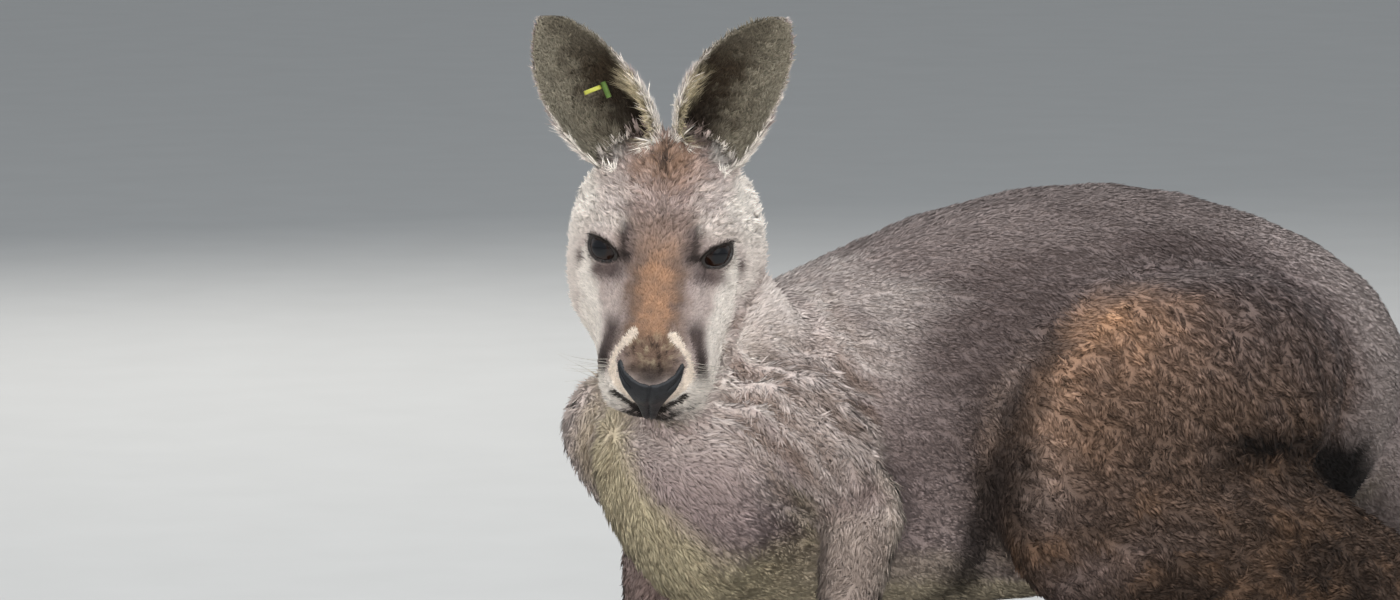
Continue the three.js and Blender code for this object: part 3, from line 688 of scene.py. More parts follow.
def make_skin(body, eye):
    mesh = join_flesh(body)
    shapes = swelled(REGIONS)
    points, edges = points_of(mesh), edges_of(mesh)
    owner = owners(points, shapes)
    softness = by_region(owner, {name: min(1, row[0] / 6) for name, row in FLESH.items()})
    of_ear = within(owner, "ear")
    points = smoothed(points, edges, 10, of_ear)
    move_points(mesh, smoothed(points, edges, 8, relaxed(softness**2, edges, 4)))
    points = draw_in(mesh, owner, edges, creases(points_of(mesh), owner))
    move_points(mesh, points)
    soft_normals = unit(relaxed(normals_of(mesh), edges, 5))
    is_head = np.isin(owner, [REGIONS.index(node) for node in HEAD_NODES + EAR_NODES])
    off_head = 1 - relaxed(is_head.astype(float), edges, 8)
    points = points + soft_normals * (body.fold * fold_ridges(points) * step(0.6, 1, off_head))[:, None]
    head = in_head(points)
    is_ear = np.isin(owner, [REGIONS.index(node) for node in EAR_NODES])
    face = is_head & ~is_ear & (head[:, 0] > -60)
    head[face] = shaped_face(head[face], eye)
    calm = np.zeros(len(head))
    for side in SIDES:
        distance, _, beyond, _, _ = lid_place(side, head, eye)
        calm = np.maximum(calm, step(10, 22, np.degrees(beyond)) * step(60, 40, distance))
    head = relaxed(head, edges, 6, calm * face)
    points = np.where(face[:, None], from_head(head), points)
    move_points(mesh, points)
    front = is_head & ~is_ear & in_front(head)
    kept = int(is_head.sum() * 2)
    mesh = thinned(mesh, is_head, kept + max(20000, body.triangles - kept - int(front.sum() * 6)))
    head = in_head(points_of(mesh))
    near_head = np.linalg.norm(head - [20, 0, -10], axis=1) < 125
    mesh = refined(mesh, near_head & in_front(head))
    mesh.shade_smooth()
    return mesh, owners(points_of(mesh), shapes)


# ---------------------------------------------------------------------------------------------------------
# Markings and painted light and shade: soft shapes of colour, laid one over another, the same for the skin and the
# coat; some paint shade in creases and folds and light on faces that look up


def laid(base, over, amount):
    amount = np.clip(amount, 0, 1)[:, None]
    return base * (1 - amount) + np.asarray(over) * amount


def spot(points, node, place, size):
    """A soft patch at a place given as shares of a node's box, with half sizes in metres."""
    low, high = (np.array(corner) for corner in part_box(node))
    return np.exp(-((((points - (low + (high - low) * place)) / size) ** 2).sum(1)))


def body_colours(points, normals, owner, edges, valley, c):
    def on(*names):
        return relaxed(within(owner, *names), edges, 8)

    blotch, mottle, fleck = waves(points, 0.06, 21, 2), waves(points, 0.018, 22, 2), waves(points, 0.009, 23, 2)
    tone = np.tile(np.array(c.blue_grey), (len(points), 1))

    def lay(over, amount):
        nonlocal tone
        tone = laid(tone, over, amount)

    low, high = (np.array(corner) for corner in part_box("trunk"))
    x, y, z = ((points - low) / (high - low)).T
    along_back = x + 0.05 * blotch + 0.02 * mottle
    saddle = 0.95 * step(0.10, 0.36, along_back) * step(0.92, 0.68, x) * step(0.1, 0.5, z)
    lay(c.dark_grey, saddle * on("trunk", "thigh"))
    # Paler on the faces of the trunk that look up: partly the coat's own paler back, partly painted top light
    lay(c.pale_grey, 0.32 * step(0.55, 1.0, normals[:, 2] + 0.12 * blotch) * on("trunk", "tail_base"))
    lay(c.pale_grey, 0.95 * step(0.68, 0.94, x) * on("trunk"))
    lay(c.black, 0.08 * step(0.19, 0.36, x) * step(0.92, 0.68, x) * step(0.3, 0.6, z) * on("trunk"))
    lay(c.pale_grey, 0.35 * step(0.5, 0.2, z) * step(0.25, 0.4, x) * on("trunk"))
    shoulder = step(0.36, 0.04, along_back) * step(0.2, 0.8, z) * on("trunk", "neck", "upper_arm")
    lay(c.pale_grey, 0.9 * shoulder)
    # White on the top of the shoulder and neck: partly the coat's own frosted tips, partly painted top light on the
    # faces that look up
    frost_and_top_light = 0.75 * step(0.36, 0.08, along_back) * step(0.3, 0.8, z) * step(-0.1, 0.7, normals[:, 2])
    lay(c.white, frost_and_top_light * on("trunk", "neck"))
    lay(c.pale_grey, 0.85 * on("upper_arm", "neck"))
    lay(c.white, 0.12 * on("upper_arm"))
    belly = step(-0.45, -0.85, normals[:, 2]) * on("trunk", "neck")
    lay(c.cream, 0.75 * belly)
    front = step(-0.15, -0.75, normals[:, 0] + 0.12 * mottle) * step(0.34, 0.12, x)
    chest = np.maximum(front, step(0.30, 0.10, x) * step(0.46, 0.14, z)) * step(0.74, 0.46, z + 0.06 * mottle)
    chest *= step(0.08, 0.20, y - 0.28 * step(0.2, 0.6, z)) * step(0.98, 0.88, y + 0.2 * step(0.3, 0.7, z))
    lay(c.cream, 0.97 * chest * on("trunk", "neck"))
    lay(c.brown, 0.35 * step(0.1, 0.9, fleck) * chest * on("trunk", "neck"))
    ochre = spot(points, "trunk", (0.02, 0.70, 0.42), (0.06, 0.035, 0.035)) * on("trunk")
    lay(c.brown, 0.85 * ochre)
    for side in SIDES:
        thigh = f"thigh_{side}"
        rows = on("thigh", "shank", "trunk")
        (x0, _, z0), (x1, _, z1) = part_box(thigh)
        across, over = (points[:, 0] - x0) / (x1 - x0), (points[:, 2] - z0) / (z1 - z0)
        mine = (points[:, 1] < 0) == (side == "left")
        lower = spot(points, thigh, (0.62, 0.5, 0.42), (0.125, 0.12, 0.062)) * mine
        lay(c.brown, 0.8 * lower * rows)
        lay(c.dark_grey, 0.55 * lower * rows * step(-0.3, 0.7, blotch))
        of_thigh = mine * on("thigh", "shank")
        lay(c.brown, (0.8 - 0.35 * step(0.45, 0.15, over)) * of_thigh * step(1.0, 0.5, over))
        patchy = 0.35 * of_thigh * step(0.3, 0.5, across) * step(-0.4, 0.5, blotch + 0.5 * mottle)
        lay(c.dark_grey, patchy)
        # Painted shade: black on the lower front of the thigh, where it turns under
        front = 0.2 * of_thigh * step(0.75, 0.4, over + 0.1 * blotch) * step(0.4, 0.1, across + 0.1 * mottle)
        lay(c.black, front)
        top_spot = spot(points, thigh, (0.25, 0.5, 0.84), (0.074, 0.09, 0.040))
        low_spot = 0.7 * spot(points, thigh, (0.12, 0.5, 0.66), (0.035, 0.09, 0.05))
        rust = np.maximum(top_spot, low_spot) * mine
        border = np.interp(across, [0.03, 0.08, 0.165, 0.25, 0.37, 0.6, 1], [0.54, 0.68, 0.81, 0.9, 0.95, 0.93, 0.8])
        rust *= step(0.03, -0.05, over - border)
        lay(c.rust, 0.95 * rust * rows * (0.8 + 0.3 * mottle))
        edge = step(0.20, 0.04, across) * step(0.05, 0.2, over) * step(0.95, 0.7, over) * mine * on("thigh")
        lay(c.pale_grey, 0.16 * edge)
        place = (points[:, 0] - x0) / 0.3, (points[:, 2] - z0) / 0.3
        wide, tall = (x1 - x0) / 0.3, (z1 - z0) / 0.3
        # Painted shade: a black line along the crease where the thigh meets the shank
        path = [(0.42, 0.46), (0.60, 0.43), (0.78, 0.37), (1.03, 0.29), (1.10, 0.21)]
        crease_shade, along = along_stroke(*place, [(a * wide, b * tall) for a, b in path])
        crease_shade = step(1.7, 0.5, crease_shade * 0.3 / (0.010 + 0.013 * along) + 0.25 * mottle) * mine * rows
        lay(c.black, 0.98 * crease_shade * step(0.0, 0.25, along))
        # Painted shadow: a black band along the front edge of the thigh, where it meets the flank
        path = [(0.02, 0.0), (0.02, 0.36), (0.05, 0.57), (0.10, 0.69), (0.18, 0.82)]
        ahead, along = along_stroke(*place, [(a * wide, b * tall) for a, b in path])
        ahead = step(1.6, 0.3, ahead * 0.3 / (0.014 - 0.010 * along) + 0.2 * mottle) * mine * rows
        lay(c.black, (0.9 - 0.5 * along) * ahead)
    lay(c.brown, 0.95 * on("shank") + 0.5 * on("foot") + 0.35 * on("hand"))
    lay(c.black, on("shank") * (0.3 + 0.3 * step(-0.3, 0.6, blotch)))
    lay(c.rust, 0.30 * on("shank") * step(0.1, 0.8, mottle))
    lay(c.black, 0.45 * on("foot", "hand") * step(0.06, 0.02, points[:, 2]) * step(-0.6, 0.6, mottle))
    lay(c.brown, 0.4 * on("forearm"))
    arm_low, arm_high = (np.array(corner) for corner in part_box("upper_arm_left"))
    ax, _, az = ((points - arm_low) / (arm_high - arm_low)).T
    arm = on("upper_arm", "forearm") * (points[:, 1] < 0)
    lay(c.dark_grey, 0.3 * arm * step(0.75, 0.35, az + 0.1 * mottle) * step(0.9, 0.5, ax))
    lay(c.rim, 0.6 * arm * step(0.72, 1.0, ax + 0.05 * mottle) * step(0.75, 0.25, az))
    lay(c.rim, 0.25 * arm * step(0.22, 0.0, az) * step(0.25, 0.55, ax))
    tail = on("tail_base", "tail_middle", "tail_tip")
    lay(c.pale_grey, 0.5 * tail * step(0.1, -0.6, normals[:, 2]))
    lay(c.dark_grey, 0.4 * on("tail_tip") * step(0.0, 0.8, normals[:, 2]))
    # Painted shade: brown in the hollows between the folds of skin on the neck and shoulder
    folds = step(0.02, -0.4, fold_ridges(points)) * on("neck", "upper_arm", "trunk")
    lay(c.brown, 0.62 * folds * step(0.1, 0.6, fold_weight(points)))
    # Painted shade: black in the valley in front of each thigh and behind each upper arm
    lay(c.black, 0.75 * valley)
    return tone * (1 + 0.05 * blotch + 0.05 * mottle + 0.03 * fleck)[:, None]


def head_colours(head, c):
    """Colours of the head from the place across, up and out of the face, in millimetres."""
    across, up, out = head[:, 1], head @ UP, head @ OFF
    wide = np.abs(across)
    mottle, clump = waves(head, 9, 31, 2), waves(head, 22, 32)
    tone = np.tile(np.array(c.pale_grey), (len(head), 1))

    def lay(over, amount):
        nonlocal tone
        tone = laid(tone, over, amount)

    lay(c.blue_grey, 0.14 + 0.2 * mottle + 0.3 * step(-20, 30, up) * step(44, 30, wide))
    lay(c.white, 0.3 * step(0, 14, up) * step(60, 40, up) * step(12, 24, wide))
    # crown and bridge
    crown = np.exp(-((across / 21) ** 2) - ((up - 58) / 19) ** 2)
    lay(c.rust, 0.8 * crown * (1 + 0.3 * mottle))
    lay(c.brown, 0.75 * crown * step(-0.7, 0.7, mottle + 0.4 * clump))
    curls = waves(head, 6, 34, 2)
    lay(c.dark_grey, 0.5 * step(0.2, 1.1, curls) * step(4, 20, up) * step(46, 30, wide))
    between_eyes = step(-8, 12, up)
    bridge = step(27 + 6 * between_eyes, 13 + 3 * between_eyes, wide + 3.0 * mottle)
    bridge = bridge * step(-70, -58, up) * step(44, 14, up)
    lay(c.brown, (0.7 + 0.2 * step(15, -15, up)) * bridge)
    ridge = step(15, 3, wide + 3.0 * mottle - 2 * step(-10, -40, up)) * step(-64, -50, up) * step(24, -20, up)
    lay(c.rust, 0.75 * ridge * (0.85 + 0.3 * curls))
    lay(c.dark_grey, 0.45 * bridge * step(0.3, 1.2, curls) * step(4, 12, wide))
    lay(c.white, 0.1 * step(20, 29, wide) * step(-4, -14, up) * step(-72, -60, up))
    line = step(3.2, 1.0, wide + 1.6 * mottle) * (step(38, 54, up) * step(76, 66, up) + 0.28 * step(-10, 30, up))
    lay(c.black, 0.6 * line)
    # white sides, cheeks and the stripe from the eye to the lips
    temples = 0.97 * step(37, 47, wide - 0.15 * (up - 40) + 2 * mottle) * step(10, 34, up)
    lay(c.white, temples + 0.6 * step(46, 55, wide))
    lay(c.white, 0.85 * step(-6, -30, out) * step(30, 50, wide) * step(-10, 20, up))
    lay(c.white, 0.85 * step(22, 30, wide) * step(56, 66, up) * step(-2, 12, up - wide))
    stripe, along = along_stroke(wide, up, [(47, -3), (45, -22), (41, -44), (39.3, -57), (38.5, -70), (37, -86)])
    swell = 3.6 + 3.0 * np.sin(np.pi * np.clip(along * 1.1, 0, 1)) ** 0.8
    lay(c.white, 0.95 * step(1.6, 0.5, stripe / swell + 0.3 * mottle))
    # grey cheek between the stripe and the bridge, and the dark side of the muzzle with its rows of whisker roots
    dark, along = along_stroke(wide, up, [(24.5, -40), (27.5, -56), (31.5, -68), (32.5, -85)])
    rows = 0.75 + 0.25 * np.sin(up * 2 * math.pi / 3.1)
    side = step(1.6, 0.4, dark / (5.6 - 2.2 * along) + 0.25 * mottle) * step(-0.05, 0.3, along)
    tone = laid(laid(tone, c.dark_grey, side), c.black, 0.35 * side)
    lay(c.black, 0.9 * step(1.5, 0.4, dark / (3.8 - 1.0 * along)) * step(0.40, 0.85, along) * rows)
    # round the eyes
    # Dark patch under each eye: partly the coat's own mark, partly painted shade of the fold under the lower lid
    below = np.exp(-(((wide - 32) / 10.5) ** 4) - ((up + 14.5) / 7.0) ** 2)
    lay(c.dark_grey, 1.25 * below * (1 + 0.2 * mottle))
    lay(c.black, 0.22 * below * step(38, 26, wide))
    beside = np.exp(-(((wide - 51.0) / 2.4) ** 2) - ((up + 6) / 5.0) ** 2)
    lay(c.dark_grey, 1.0 * beside)
    inner, along = along_stroke(wide, up, [(21, 12), (20, 4), (19, -6)])
    lay(c.dark_grey, 0.8 * step(1.8, 0.2, inner / 4.4 + 0.35 * mottle))
    inner, along = along_stroke(wide, up, [(23.0, 15), (22.0, 8), (21.5, 1)])
    lay(c.black, 0.6 * step(1.8, 0.2, inner / 2.4 + 0.4 * curls))
    inner, along = along_stroke(wide, up, [(27, -2), (20, -5)])
    lay(c.black, 0.85 * step(1.7, 0.3, inner / 2.7 + 0.2 * mottle))
    brow, along = along_stroke(wide, up, [(28, 18), (40, 18), (51, 11)])
    brow = step(1.6, 0.3, brow / 6.0 + 0.3 * mottle)
    tone = laid(laid(tone, c.white, 0.3 * brow), c.brown, 0.12 * brow)
    # nose: brown top, pale rim, white lips and chin
    white_lip = np.exp(-(((wide - 25) / 14) ** 4) - ((up + 93) / 13) ** 4)
    lay(c.white, 0.97 * white_lip)
    nose_top = np.exp(-((across / 21) ** 4) - ((up + 68) / 14) ** 4)
    lay(c.brown, 0.95 * nose_top)
    lay(c.black, nose_top * (0.04 + 0.55 * step(-66, -76, up + 2 * clump)))
    speckle = waves(head, 3.6, 33, 2)
    lay(c.cream, 0.4 * nose_top * step(0.2, 1.0, speckle) * step(-80, -66, up))
    lay(c.black, 0.7 * nose_top * step(0.1, 0.8, -speckle))
    lay(c.black, 0.85 * np.exp(-((across / 11) ** 2) - ((up + 82) / 7) ** 2))
    path = [(12, -54), (17.9, -60.6), (22.4, -66.5), (24.8, -72.5), (24.7, -79), (21.6, -86), (14.6, -92.3), (9, -97)]
    rim, along = along_stroke(wide, up, path)
    lay(c.rim, 0.99 * step(1.45, 0.8, rim / (1.7 + 0.8 * np.cos(5.0 * along) ** 2) + 0.12 * mottle))
    lay(c.black, step(-0.6, 0.8, pad_depth(head)) * (out > 20))
    return tone


def mouth_colours(tone, head, c):
    """The pale underside of the jaw, and the black, speckled line of the lips and front of the chin."""
    x, y, z = head.T
    wide, up = np.abs(y), head @ UP
    speckle, grain = waves(head, 3.4, 41, 2), waves(head, 2.2, 42)
    under = step(-34, -44, z) * step(-20, 20, x)
    tone = laid(tone, c.white, 0.7 * under)
    mouth = np.interp(x, *MOUTH)
    lip_line = 0.7 * step(3.0, 1.0, np.abs(z - mouth) + 1.1 * speckle) * step(50, 80, x) * step(14, 24, wide)
    tone = laid(tone, c.black, lip_line)
    line, along = along_stroke(wide, up, [(23, -91.5), (16.8, -96), (12, -99), (7, -102), (0, -105)])
    tone = laid(tone, c.black, 0.95 * step(1.5, 0.7, line / (1.0 + 1.3 * along) + 0.35 * speckle) * (x > 60))
    front = step(1.25, 0.8, np.hypot(wide / 17, (up + 107) / 9.5) + 0.2 * speckle) * (x > 60)
    tone = laid(tone, c.black, front * (0.95 - 0.75 * step(0.0, 0.8, grain) * step(4, 8, wide)))
    return tone


def lid_colours(tone, head, eye, c):
    for side in SIDES:
        distance, _, beyond, height, sideways = lid_place(side, head, eye)
        near = distance < EYE_RADIUS + 12
        beyond = np.degrees(beyond) * np.where(near, 1, 9)
        tone = laid(tone, c.dark_grey, 0.7 * step(16, 7, beyond - 3 * (sideways > 0.5) * (height > -0.1)))
        lid = 0.97 * step(8, 4, beyond - 2.5 * (height > 0)) * step(EYE_RADIUS + 6, EYE_RADIUS + 3.5, distance)
        tone = laid(tone, c.black, lid)
        pale = hill(beyond - 13, 4) * step(0.15, 0.6, sideways) * step(0.1, -0.1, height)
        tone = laid(tone, c.white, 0.85 * pale)
    return tone


def ear_colours(tone, head, owner, c):
    for side in SIDES:
        of_ear = (owner == REGIONS.index(f"ear_{side}")).astype(float)
        t, u, depth = ear_place(side, head)
        edge = np.minimum(1 - np.abs(u), (1.0 - t) * 1.8)
        inside = step(0.5, -0.5, depth - 1.6 * step(0.3, 0.6, u) * step(0.4, 0.55, t)) * step(0.02, 0.07, edge)
        inside = np.maximum(inside, (t > 0.86) * step(0.1, -0.6, depth) * step(0.02, 0.05, edge))
        grain = waves(head, 7, 51, 2)
        outer = laid(np.tile(np.array(c.blue_grey), (len(head), 1)), c.pale_grey, 0.5 + 0.3 * grain)
        outer = laid(outer, c.white, 0.9 * step(0.40, 0.15, t) + 0.9 * step(0.08, 0.02, edge))
        lining = np.tile(np.array(c.ear_dark), (len(head), 1))
        lining = laid(lining, c.ear_grey, 0.9 * step(0.35, -0.65, u + 0.25 * grain))
        lining = laid(lining, c.ear_grey, 0.45 * step(0.5, 0.85, t))
        lining = laid(lining, c.ear_grey, 0.6 * step(0.16, 0.08, edge))
        lining = laid(lining, c.black, 0.65 * step(0.46, 0.15, t) * step(-0.3, 0.2, u))
        lining = laid(lining, c.cream, 0.85 * step(0.45, 0.8, u + 0.1 * grain) * step(0.50, 0.34, t))
        ear = laid(outer, lining, inside)
        tone = laid(tone, ear, of_ear)
    return tone


def coat_colours(points, normals, owner, edges, valley, c, eye):
    body = body_colours(points, normals, owner, edges, valley, c)
    head = in_head(points)
    face = head_colours(head, c)
    face = mouth_colours(face, head, c)
    is_head = within(owner, "head", "lower_jaw", "nose", "ear")
    tone = laid(body, face, relaxed(is_head, edges, 10))
    near = np.linalg.norm(head, axis=1) < 200
    tone[near] = ear_colours(lid_colours(tone[near], head[near], eye, c), head[near], owner[near], c)
    return np.clip(tone, 0.004, 0.95)


# ---------------------------------------------------------------------------------------------------------
# Lie of the coat

#         length, width in millimetres, rise off the skin, tufts for each square centimetre
HAIR = {
    "head": (5.2, 1.0, 0.44, 140), "lower_jaw": (5.4, 1.0, 0.46, 110), "nose": (2.0, 0.7, 0.26, 170),
    "trunk": (8.5, 1.3, 0.16, 24), "neck": (10, 1.5, 0.26, 30), "tail_base": (9, 1.6, 0.18, 16),
    "tail_middle": (8.5, 1.6, 0.20, 16), "tail_tip": (8, 1.5, 0.20, 18), "thigh": (7.5, 1.4, 0.22, 34),
    "shank": (8.5, 1.5, 0.24, 28), "foot": (5.5, 1.2, 0.22, 30), "upper_arm": (10.5, 1.6, 0.28, 24),
    "forearm": (9.5, 1.5, 0.28, 24), "hand": (4.5, 1.2, 0.22, 36), "ear": (6.0, 0.75, 0.26, 110),
}  # fmt: skip


def towards(a, b):
    return np.array((middle(b) - middle(a)).normalized())


def body_lie(owner):
    """The way the hair points, from root to tip, in each region of the body."""
    ways = {node: np.array([1.0, 0, -0.45]) for node in REGIONS}
    ways["neck"] = unit(towards("head", "neck") + [0.5, 0, -0.4])
    for a, b in (("tail_base", "tail_middle"), ("tail_middle", "tail_tip")):
        ways[a] = towards(a, b)
    ways["tail_tip"] = np.array([1.0, 0.1, 0])
    for side in SIDES:
        ways[f"thigh_{side}"] = np.array([0.45, 0, -1.0])
        ways[f"shank_{side}"] = np.array([1.0, 0, -0.35])
        ways[f"foot_{side}"] = np.array([-1.0, 0, -0.12])
        ways[f"upper_arm_{side}"] = towards(f"upper_arm_{side}", f"forearm_{side}") + [0.35, 0, -0.2]
        ways[f"forearm_{side}"] = towards(f"forearm_{side}", f"hand_{side}")
        ways[f"hand_{side}"] = np.array([-1.0, 0, -0.2])
    return np.array([unit(ways[node]) for node in REGIONS])[owner]


def head_lie(head, owner):
    x, y, z = head.T
    side = np.tanh(y / 8)
    way = np.stack([np.full(len(x), -1.0), 0.35 * side, np.full(len(x), -0.05)], 1)
    forehead = (step(20, -20, x) * step(10, 35, z))[:, None]
    way = way + forehead * np.stack([np.full(len(x), -0.2), 0.75 * side, np.full(len(x), 0.3)], 1)
    cheek = (step(28, 46, np.abs(y)) * step(40, 10, x))[:, None]
    way = way + cheek * np.array([-0.1, 0, -0.55])
    lips = step(84, 104, x)[:, None]
    way = way * (1 - 0.6 * lips) + lips * np.stack([np.full(len(x), -0.15), 0.9 * side, np.full(len(x), -0.45)], 1)
    for name in SIDES:
        _, spine, facing, inward = ear_frame(name)
        away = head - eye_centre(name)
        ring = hill(np.linalg.norm(away, axis=1) - EYE_RADIUS, 7)[:, None]
        way = way + 0.6 * ring * unit(away) * [1, 1, 0.6]
        of_ear = owner == REGIONS.index(f"ear_{name}")
        t, u, depth = ear_place(name, head)
        fan = spine + (0.75 * np.clip(u, -1, 1) * (depth < 0) * step(0, 0.3, t))[:, None] * inward
        fan = fan + (0.9 * step(0.4, 0.8, u) * (depth < 0) * step(0.7, 0.3, t))[:, None] * (facing - 1.2 * inward)
        fan = fan + (0.5 * (depth < 0) * step(0.30, 0.16, t))[:, None] * facing
        way[of_ear] = fan[of_ear]
        way = way + (0.5 * ~of_ear * ear_root(t, depth, y))[:, None] * spine
    return unit(way) @ TURN.T


NOSE_TOP = ((0, 6, 10.5, 15.0, 17.6, 19.4, 20.6, 22.6), (-86.8, -85.8, -83.4, -79.6, -75.5, -71.5, -71.0, -81))
NOSE_FOOT = ((0, 4.2, 6.2, 8.0, 11.8, 16.4, 19.6, 20.8, 22.6), (-109, -107, -102, -98.5, -93.8, -88.4, -82, -76.5, -64))


def pad_depth(head):
    """How far inside the outline of the bare pad of the nose each point of the head lies, in millimetres."""
    wide, up = np.abs(head[:, 1]), head @ UP
    return np.minimum(np.interp(wide, *NOSE_TOP) - up, up - np.interp(wide, *NOSE_FOOT))


def hair_sizes(points, normals, owner, edges, valley):
    """Length, width, rise and number of the tufts over the skin."""
    sizes = by_region(owner, HAIR)
    head = in_head(points)
    x, y, z = head.T
    out = head @ OFF
    on_head = within(owner, "head", "lower_jaw", "nose")
    on_ear = within(owner, "ear")
    sizes = relaxed(sizes, edges, 6, 1 - on_ear)
    low, high = (np.array(corner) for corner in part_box("trunk"))
    share_x, _, share_z = ((points - low) / (high - low)).T
    chest = step(0.22, 0.06, share_x) * step(0.8, 0.5, share_z) * within(owner, "trunk", "neck")
    parts = [
        (chest, (0.35, 0.15, 0.30, 0)),
        (step(10, 75, x) * on_head, (-0.42, -0.20, -0.30, 0)),  # muzzle
        (step(84, 100, x) * step(14, 24, np.abs(y)) * step(-8, -18, z) * on_head, (1.1, 0, 0.8, 0)),  # lips
        (step(5, -25, x) * step(10, 30, z) * on_head, (0.45, 0, 0.25, 0)),  # forehead
        (step(6, -30, out) * on_head, (0.9, 0.5, 0, -0.6)),  # back of the head
        (step(0.0, -0.8, normals[:, 2]) * within(owner, "trunk", "forearm"), (0.15, 0, 0, 0)),
        (valley, (-0.45, 0, 0, 0)),
    ]
    for side in SIDES:
        distance, _, beyond, _, _ = lid_place(side, head, bpy.context.scene.kangaroo_eye)
        near, beyond = distance < EYE_RADIUS + 12, np.degrees(beyond)
        of_ear = owner == REGIONS.index(f"ear_{side}")
        t, u, depth = ear_place(side, head)
        lining = of_ear & (depth < 0)
        inner = np.maximum(step(0.35, 0.75, u) * step(0.55, 0.3, t), 0.05 * step(0.30, 0.16, t))
        parts += [
            (near * step(35, 8, beyond), (-0.5, -0.3, 0, 0)),
            (near * (1 - step(5.0, 7.5, beyond)), (0, 0, 0, -1)),
            ((1 - on_ear) * on_head * ear_root(t, depth, y), (-0.2, 0, -0.35, 0)),
            (lining * inner, (1.8, 0.3, 0.8, 0)),
            (of_ear & ~lining & (t < 0.4), (0.8, 0, 0, 0)),
        ]
    parts.append((step(-1.0, 0.6, pad_depth(head)) * (out > 20), (0, 0, 0, -1)))
    parts.append((points[:, 2] < 0.004, (0, 0, 0, -0.75)))
    for mask, changes in parts:
        sizes *= 1 + mask[:, None] * np.array(changes)
    return sizes


# ---------------------------------------------------------------------------------------------------------
# The dressed skin as arrays, and pieces of it

LAYERS = {
    "coat_colour": "FLOAT_COLOR", "lie": "FLOAT_VECTOR", "skin_normal": "FLOAT_VECTOR", "hair_length": "FLOAT",
    "hair_width": "FLOAT", "hair_lift": "FLOAT", "hair_density": "FLOAT", "hair_swirl": "FLOAT",
}  # fmt: skip
SWIRL = {
    "head": 0.38, "lower_jaw": 0.35, "nose": 0.15, "trunk": 0.50, "neck": 0.75, "tail_base": 0.45, "tail_middle": 0.4,
    "tail_tip": 0.35, "thigh": 1.25, "shank": 0.95, "foot": 0.25, "upper_arm": 0.85, "forearm": 0.7, "hand": 0.2,
    "ear": 0.25,
}  # fmt: skip
#       most tufts, size of clumps in millimetres, material slot, regions
COAT = {
    "coat_face": (32500, 4.5, "face_coat", ("head", "lower_jaw", "nose")),
    "coat_head": (17000, 8, "face_coat", ("head", "lower_jaw", "nose")),
    "coat_ears": (24000, 5, "ear_coat", ("ear",)),
    "coat_chest": (27000, 11, "pale_coat", ("neck", "trunk")),
    "coat_back_left": (32500, 11, "body_coat", ("trunk",)),
    "coat_back_right": (25000, 11, "body_coat", ("trunk",)),
    "coat_hind_left": (32500, 12, "rust_coat", ("thigh", "shank")),
    "coat_hind_right": (24000, 12, "rust_coat", ("thigh", "shank")),
    "coat_forelimbs": (14000, 11, "body_coat", ("upper_arm", "forearm")),
    "coat_tail": (13000, 8, "tail_coat", ("tail_base", "tail_middle", "tail_tip")),
    "coat_feet_hands": (7500, 5, "foot_coat", ("foot", "hand")),
}
FIELDS = {"FLOAT": "value", "FLOAT_VECTOR": "vector", "FLOAT_COLOR": "color", "FLOAT2": "vector"}


def triangles_of(mesh):
    mesh.calc_loop_triangles()
    values = np.empty(len(mesh.loop_triangles) * 3, np.int32)
    mesh.loop_triangles.foreach_get("vertices", values)
    return values.reshape(-1, 3)


def write_layer(mesh, name, kind_of_layer, values, domain="POINT"):
    layer = mesh.attributes.new(name, kind_of_layer, domain)
    layer.data.foreach_set(FIELDS[kind_of_layer], np.ascontiguousarray(values, np.float32).ravel())


def part_of(name, skin, chosen):
    """A mesh of the chosen triangles of the skin, with its layers."""
    used, index = np.unique(skin["triangles"][chosen], return_inverse=True)
    mesh = bpy.data.meshes.new(name)
    mesh.from_pydata(skin["points"][used].tolist(), [], index.reshape(-1, 3).tolist())
    for layer in LAYERS:
        write_layer(mesh, layer, LAYERS[layer], skin[layer][used])
    return mesh


def dressed_skin():
    """The skin's shape, colours, and the lie and sizes of its hair, as arrays."""
    scene = bpy.context.scene
    mesh, owner = make_skin(scene.kangaroo_body, scene.kangaroo_eye)
    points, normals, edges = points_of(mesh), normals_of(mesh), edges_of(mesh)
    lie = body_lie(owner)
    head = in_head(points)
    on_head = np.isin(owner, [REGIONS.index(node) for node in HEAD_NODES + EAR_NODES])
    lie[on_head] = head_lie(head[on_head], owner[on_head])
    soft = 1 - 0.9 * within(owner, "head", "ear", "nose")
    lie = unit(relaxed(lie, edges, 25, soft))
    lie = unit(lie - normals * (lie * normals).sum(1)[:, None] * 0.9)
    valley = relaxed(creases(points, owner), edges, 2)
    sizes = hair_sizes(points, normals, owner, edges, valley)
    colours = coat_colours(points, normals, owner, edges, valley, scene.kangaroo_colours, scene.kangaroo_eye)
    skin = {
        "mesh": mesh,
        "points": points,
        "triangles": triangles_of(mesh),
        "owner": owner,
        "lie": lie,
        "skin_normal": unit(relaxed(normals, edges, 3)),
        "coat_colour": np.concatenate([colours, np.ones((len(colours), 1))], 1),
        "hair_length": sizes[:, 0] * MM,
        "hair_width": sizes[:, 1] * MM,
        "hair_lift": sizes[:, 2],
        "hair_density": sizes[:, 3] * 1e4,
        "hair_swirl": relaxed(by_region(owner, SWIRL), edges, 8) * (1 + 1.6 * on_head * (step(0, 22, head @ UP) - 0.3)),
    }
    for layer in ("coat_colour", "skin_normal"):
        write_layer(mesh, layer, LAYERS[layer], skin[layer])
    return skin


